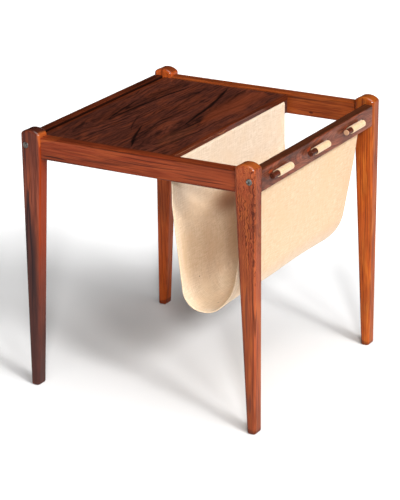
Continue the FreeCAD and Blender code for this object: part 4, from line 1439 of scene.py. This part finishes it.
@dataclass(frozen=True)
class Viewpoint:
    """The camera, at the photo's angle and through its long lens."""

    azimuth: float = 29.80
    elevation: float = 20.10
    roll: float = -0.57
    target: Point3 = (24.35, -71.30, 240.0)
    distance: float = 3598.9
    focal_px: float = 2120.3

    def place(self) -> None:
        """Set up the camera as the scene's own."""
        back = way_to(self.azimuth, self.elevation)
        right = (-back).cross(Vector((0, 0, 1))).normalized()
        up = right.cross(-back)
        roll = math.radians(self.roll)
        across = right * math.cos(roll) + up * math.sin(roll)
        upright = up * math.cos(roll) - right * math.sin(roll)
        eye = (Vector(self.target) + back * self.distance) * MM
        data = bpy.data.cameras.new("photo_view")
        data.sensor_width = SENSOR_MM
        data.lens = self.focal_px * SENSOR_MM / PHOTO_HEIGHT_PX
        data.dof.use_dof = False
        camera = bpy.data.objects.new("photo_view", data)
        rows = [(across[i], upright[i], back[i], eye[i]) for i in range(3)]
        camera.matrix_world = Matrix(rows + [(0, 0, 0, 1)])
        bpy.context.scene.collection.objects.link(camera)
        bpy.context.scene.camera = camera


@dataclass(frozen=True)
class StudioLamp:
    """A soft white lamp so far off that it lights the whole floor evenly."""

    name: str
    azimuth: float
    elevation: float
    strength: float
    spread: float

    def hang(self) -> None:
        """Hang the lamp, shining on the table from its direction."""
        data = bpy.data.lights.new(self.name, "SUN")
        data.energy = self.strength
        data.angle = math.radians(self.spread)
        lamp = bpy.data.objects.new(self.name, data)
        towards = way_to(self.azimuth, self.elevation)
        lamp.rotation_euler = towards.to_track_quat("Z", "Y").to_euler()
        lamp.location = towards * LAMP_DISTANCE_M
        bpy.context.scene.collection.objects.link(lamp)


@dataclass
class Studio:
    """A plain pale floor under soft lamps.

    Behind the table, as the photo sees it, the floor glows until it is plain white.
    """

    lamps: Iterable[StudioLamp] = (
        StudioLamp("front_lamp", 33, 25, 1.75, 7),
        StudioLamp("right_front_lamp", 50, 30, 0.58, 8),
        StudioLamp("key_lamp", 65, 37, 1.58, 10),
        StudioLamp("low_side_lamp", 72, 30, 0.53, 12),
        StudioLamp("side_lamp", 82, 29, 0.46, 16),
        StudioLamp("high_side_lamp", 74, 60, 0.3, 25),
        StudioLamp("high_front_lamp", 30, 65, 0.5, 30),
        StudioLamp("top_lamp", 65, 80, 0.58, 40),
    )
    air: str = "0a0a0a"
    floor_colour: str = "f6f6f6"
    floor_shade: str = "f2f2f2"
    floor_reach: float = 14000.0
    floor_lines: int = 9
    floor_mottle: float = 400.0
    backdrop_way: Point3 = (-0.5, 0.87, 0.0)
    backdrop_span: Point2 = (400.0, 700.0)
    backdrop_glow: float = 0.3

    def build(self) -> None:
        """Lay the floor, hang the lamps and set the colour of the air around."""
        world = bpy.data.worlds.new("studio_air")
        world.use_nodes = True
        world.node_tree.nodes["Background"].inputs["Color"].default_value = to_linear(self.air)
        bpy.context.scene.world = world
        bpy.context.scene.view_settings.view_transform = "Standard"
        for lamp in self.lamps:
            lamp.hang()
        count = self.floor_lines
        steps = np.linspace(-self.floor_reach, self.floor_reach, count)
        points = np.array([(x, y, 0.0) for x in steps for y in steps])
        starts = [i * count + k for i in range(count - 1) for k in range(count - 1)]
        faces = [(start, start + count, start + count + 1, start + 1) for start in starts]
        floor = mesh_piece("studio_floor", points, faces)
        floor.data.materials.append(self._floor_paint())

    def _floor_paint(self) -> Material:
        """Make the floor's matt white paint, which gives the eye no mark but a faint mottle.

        Returns:
            The material.
        """
        constants = {"Roughness": 0.9, "Emission Color": to_linear("ffffff")}
        material, tree, shader = start_material("painted studio floor", constants)
        place = add_node(tree, "TexCoord", gives="Object")
        noise = add_node(tree, "TexNoise", {"Vector": place, "Scale": per_mm(self.floor_mottle)})
        colour = paint(tree, self.floor_colour, [(noise, self.floor_shade)])
        tree.links.new(colour, shader.inputs["Base Color"])
        towards = {0: place, 1: self.backdrop_way}
        behind = add_node(tree, "VectorMath", towards, "Value", operation="DOT_PRODUCT")
        near, far = (distance * MM for distance in self.backdrop_span)
        span = {0: behind, 1: near, 2: far, 4: self.backdrop_glow}
        tree.links.new(add_node(tree, "MapRange", span, **SMOOTH), shader.inputs["Emission Strength"])
        return material


def main() -> None:
    """Build and dress the table, and set up its studio."""
    logging.basicConfig(level=logging.INFO, format="%(name)s: %(message)s")
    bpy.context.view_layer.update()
    Viewpoint().place()
    Studio().build()
    Woodwork().dress()
    Ironmongery().dress()
    MagazineSling().build()


if __name__ == "__main__":
    main()
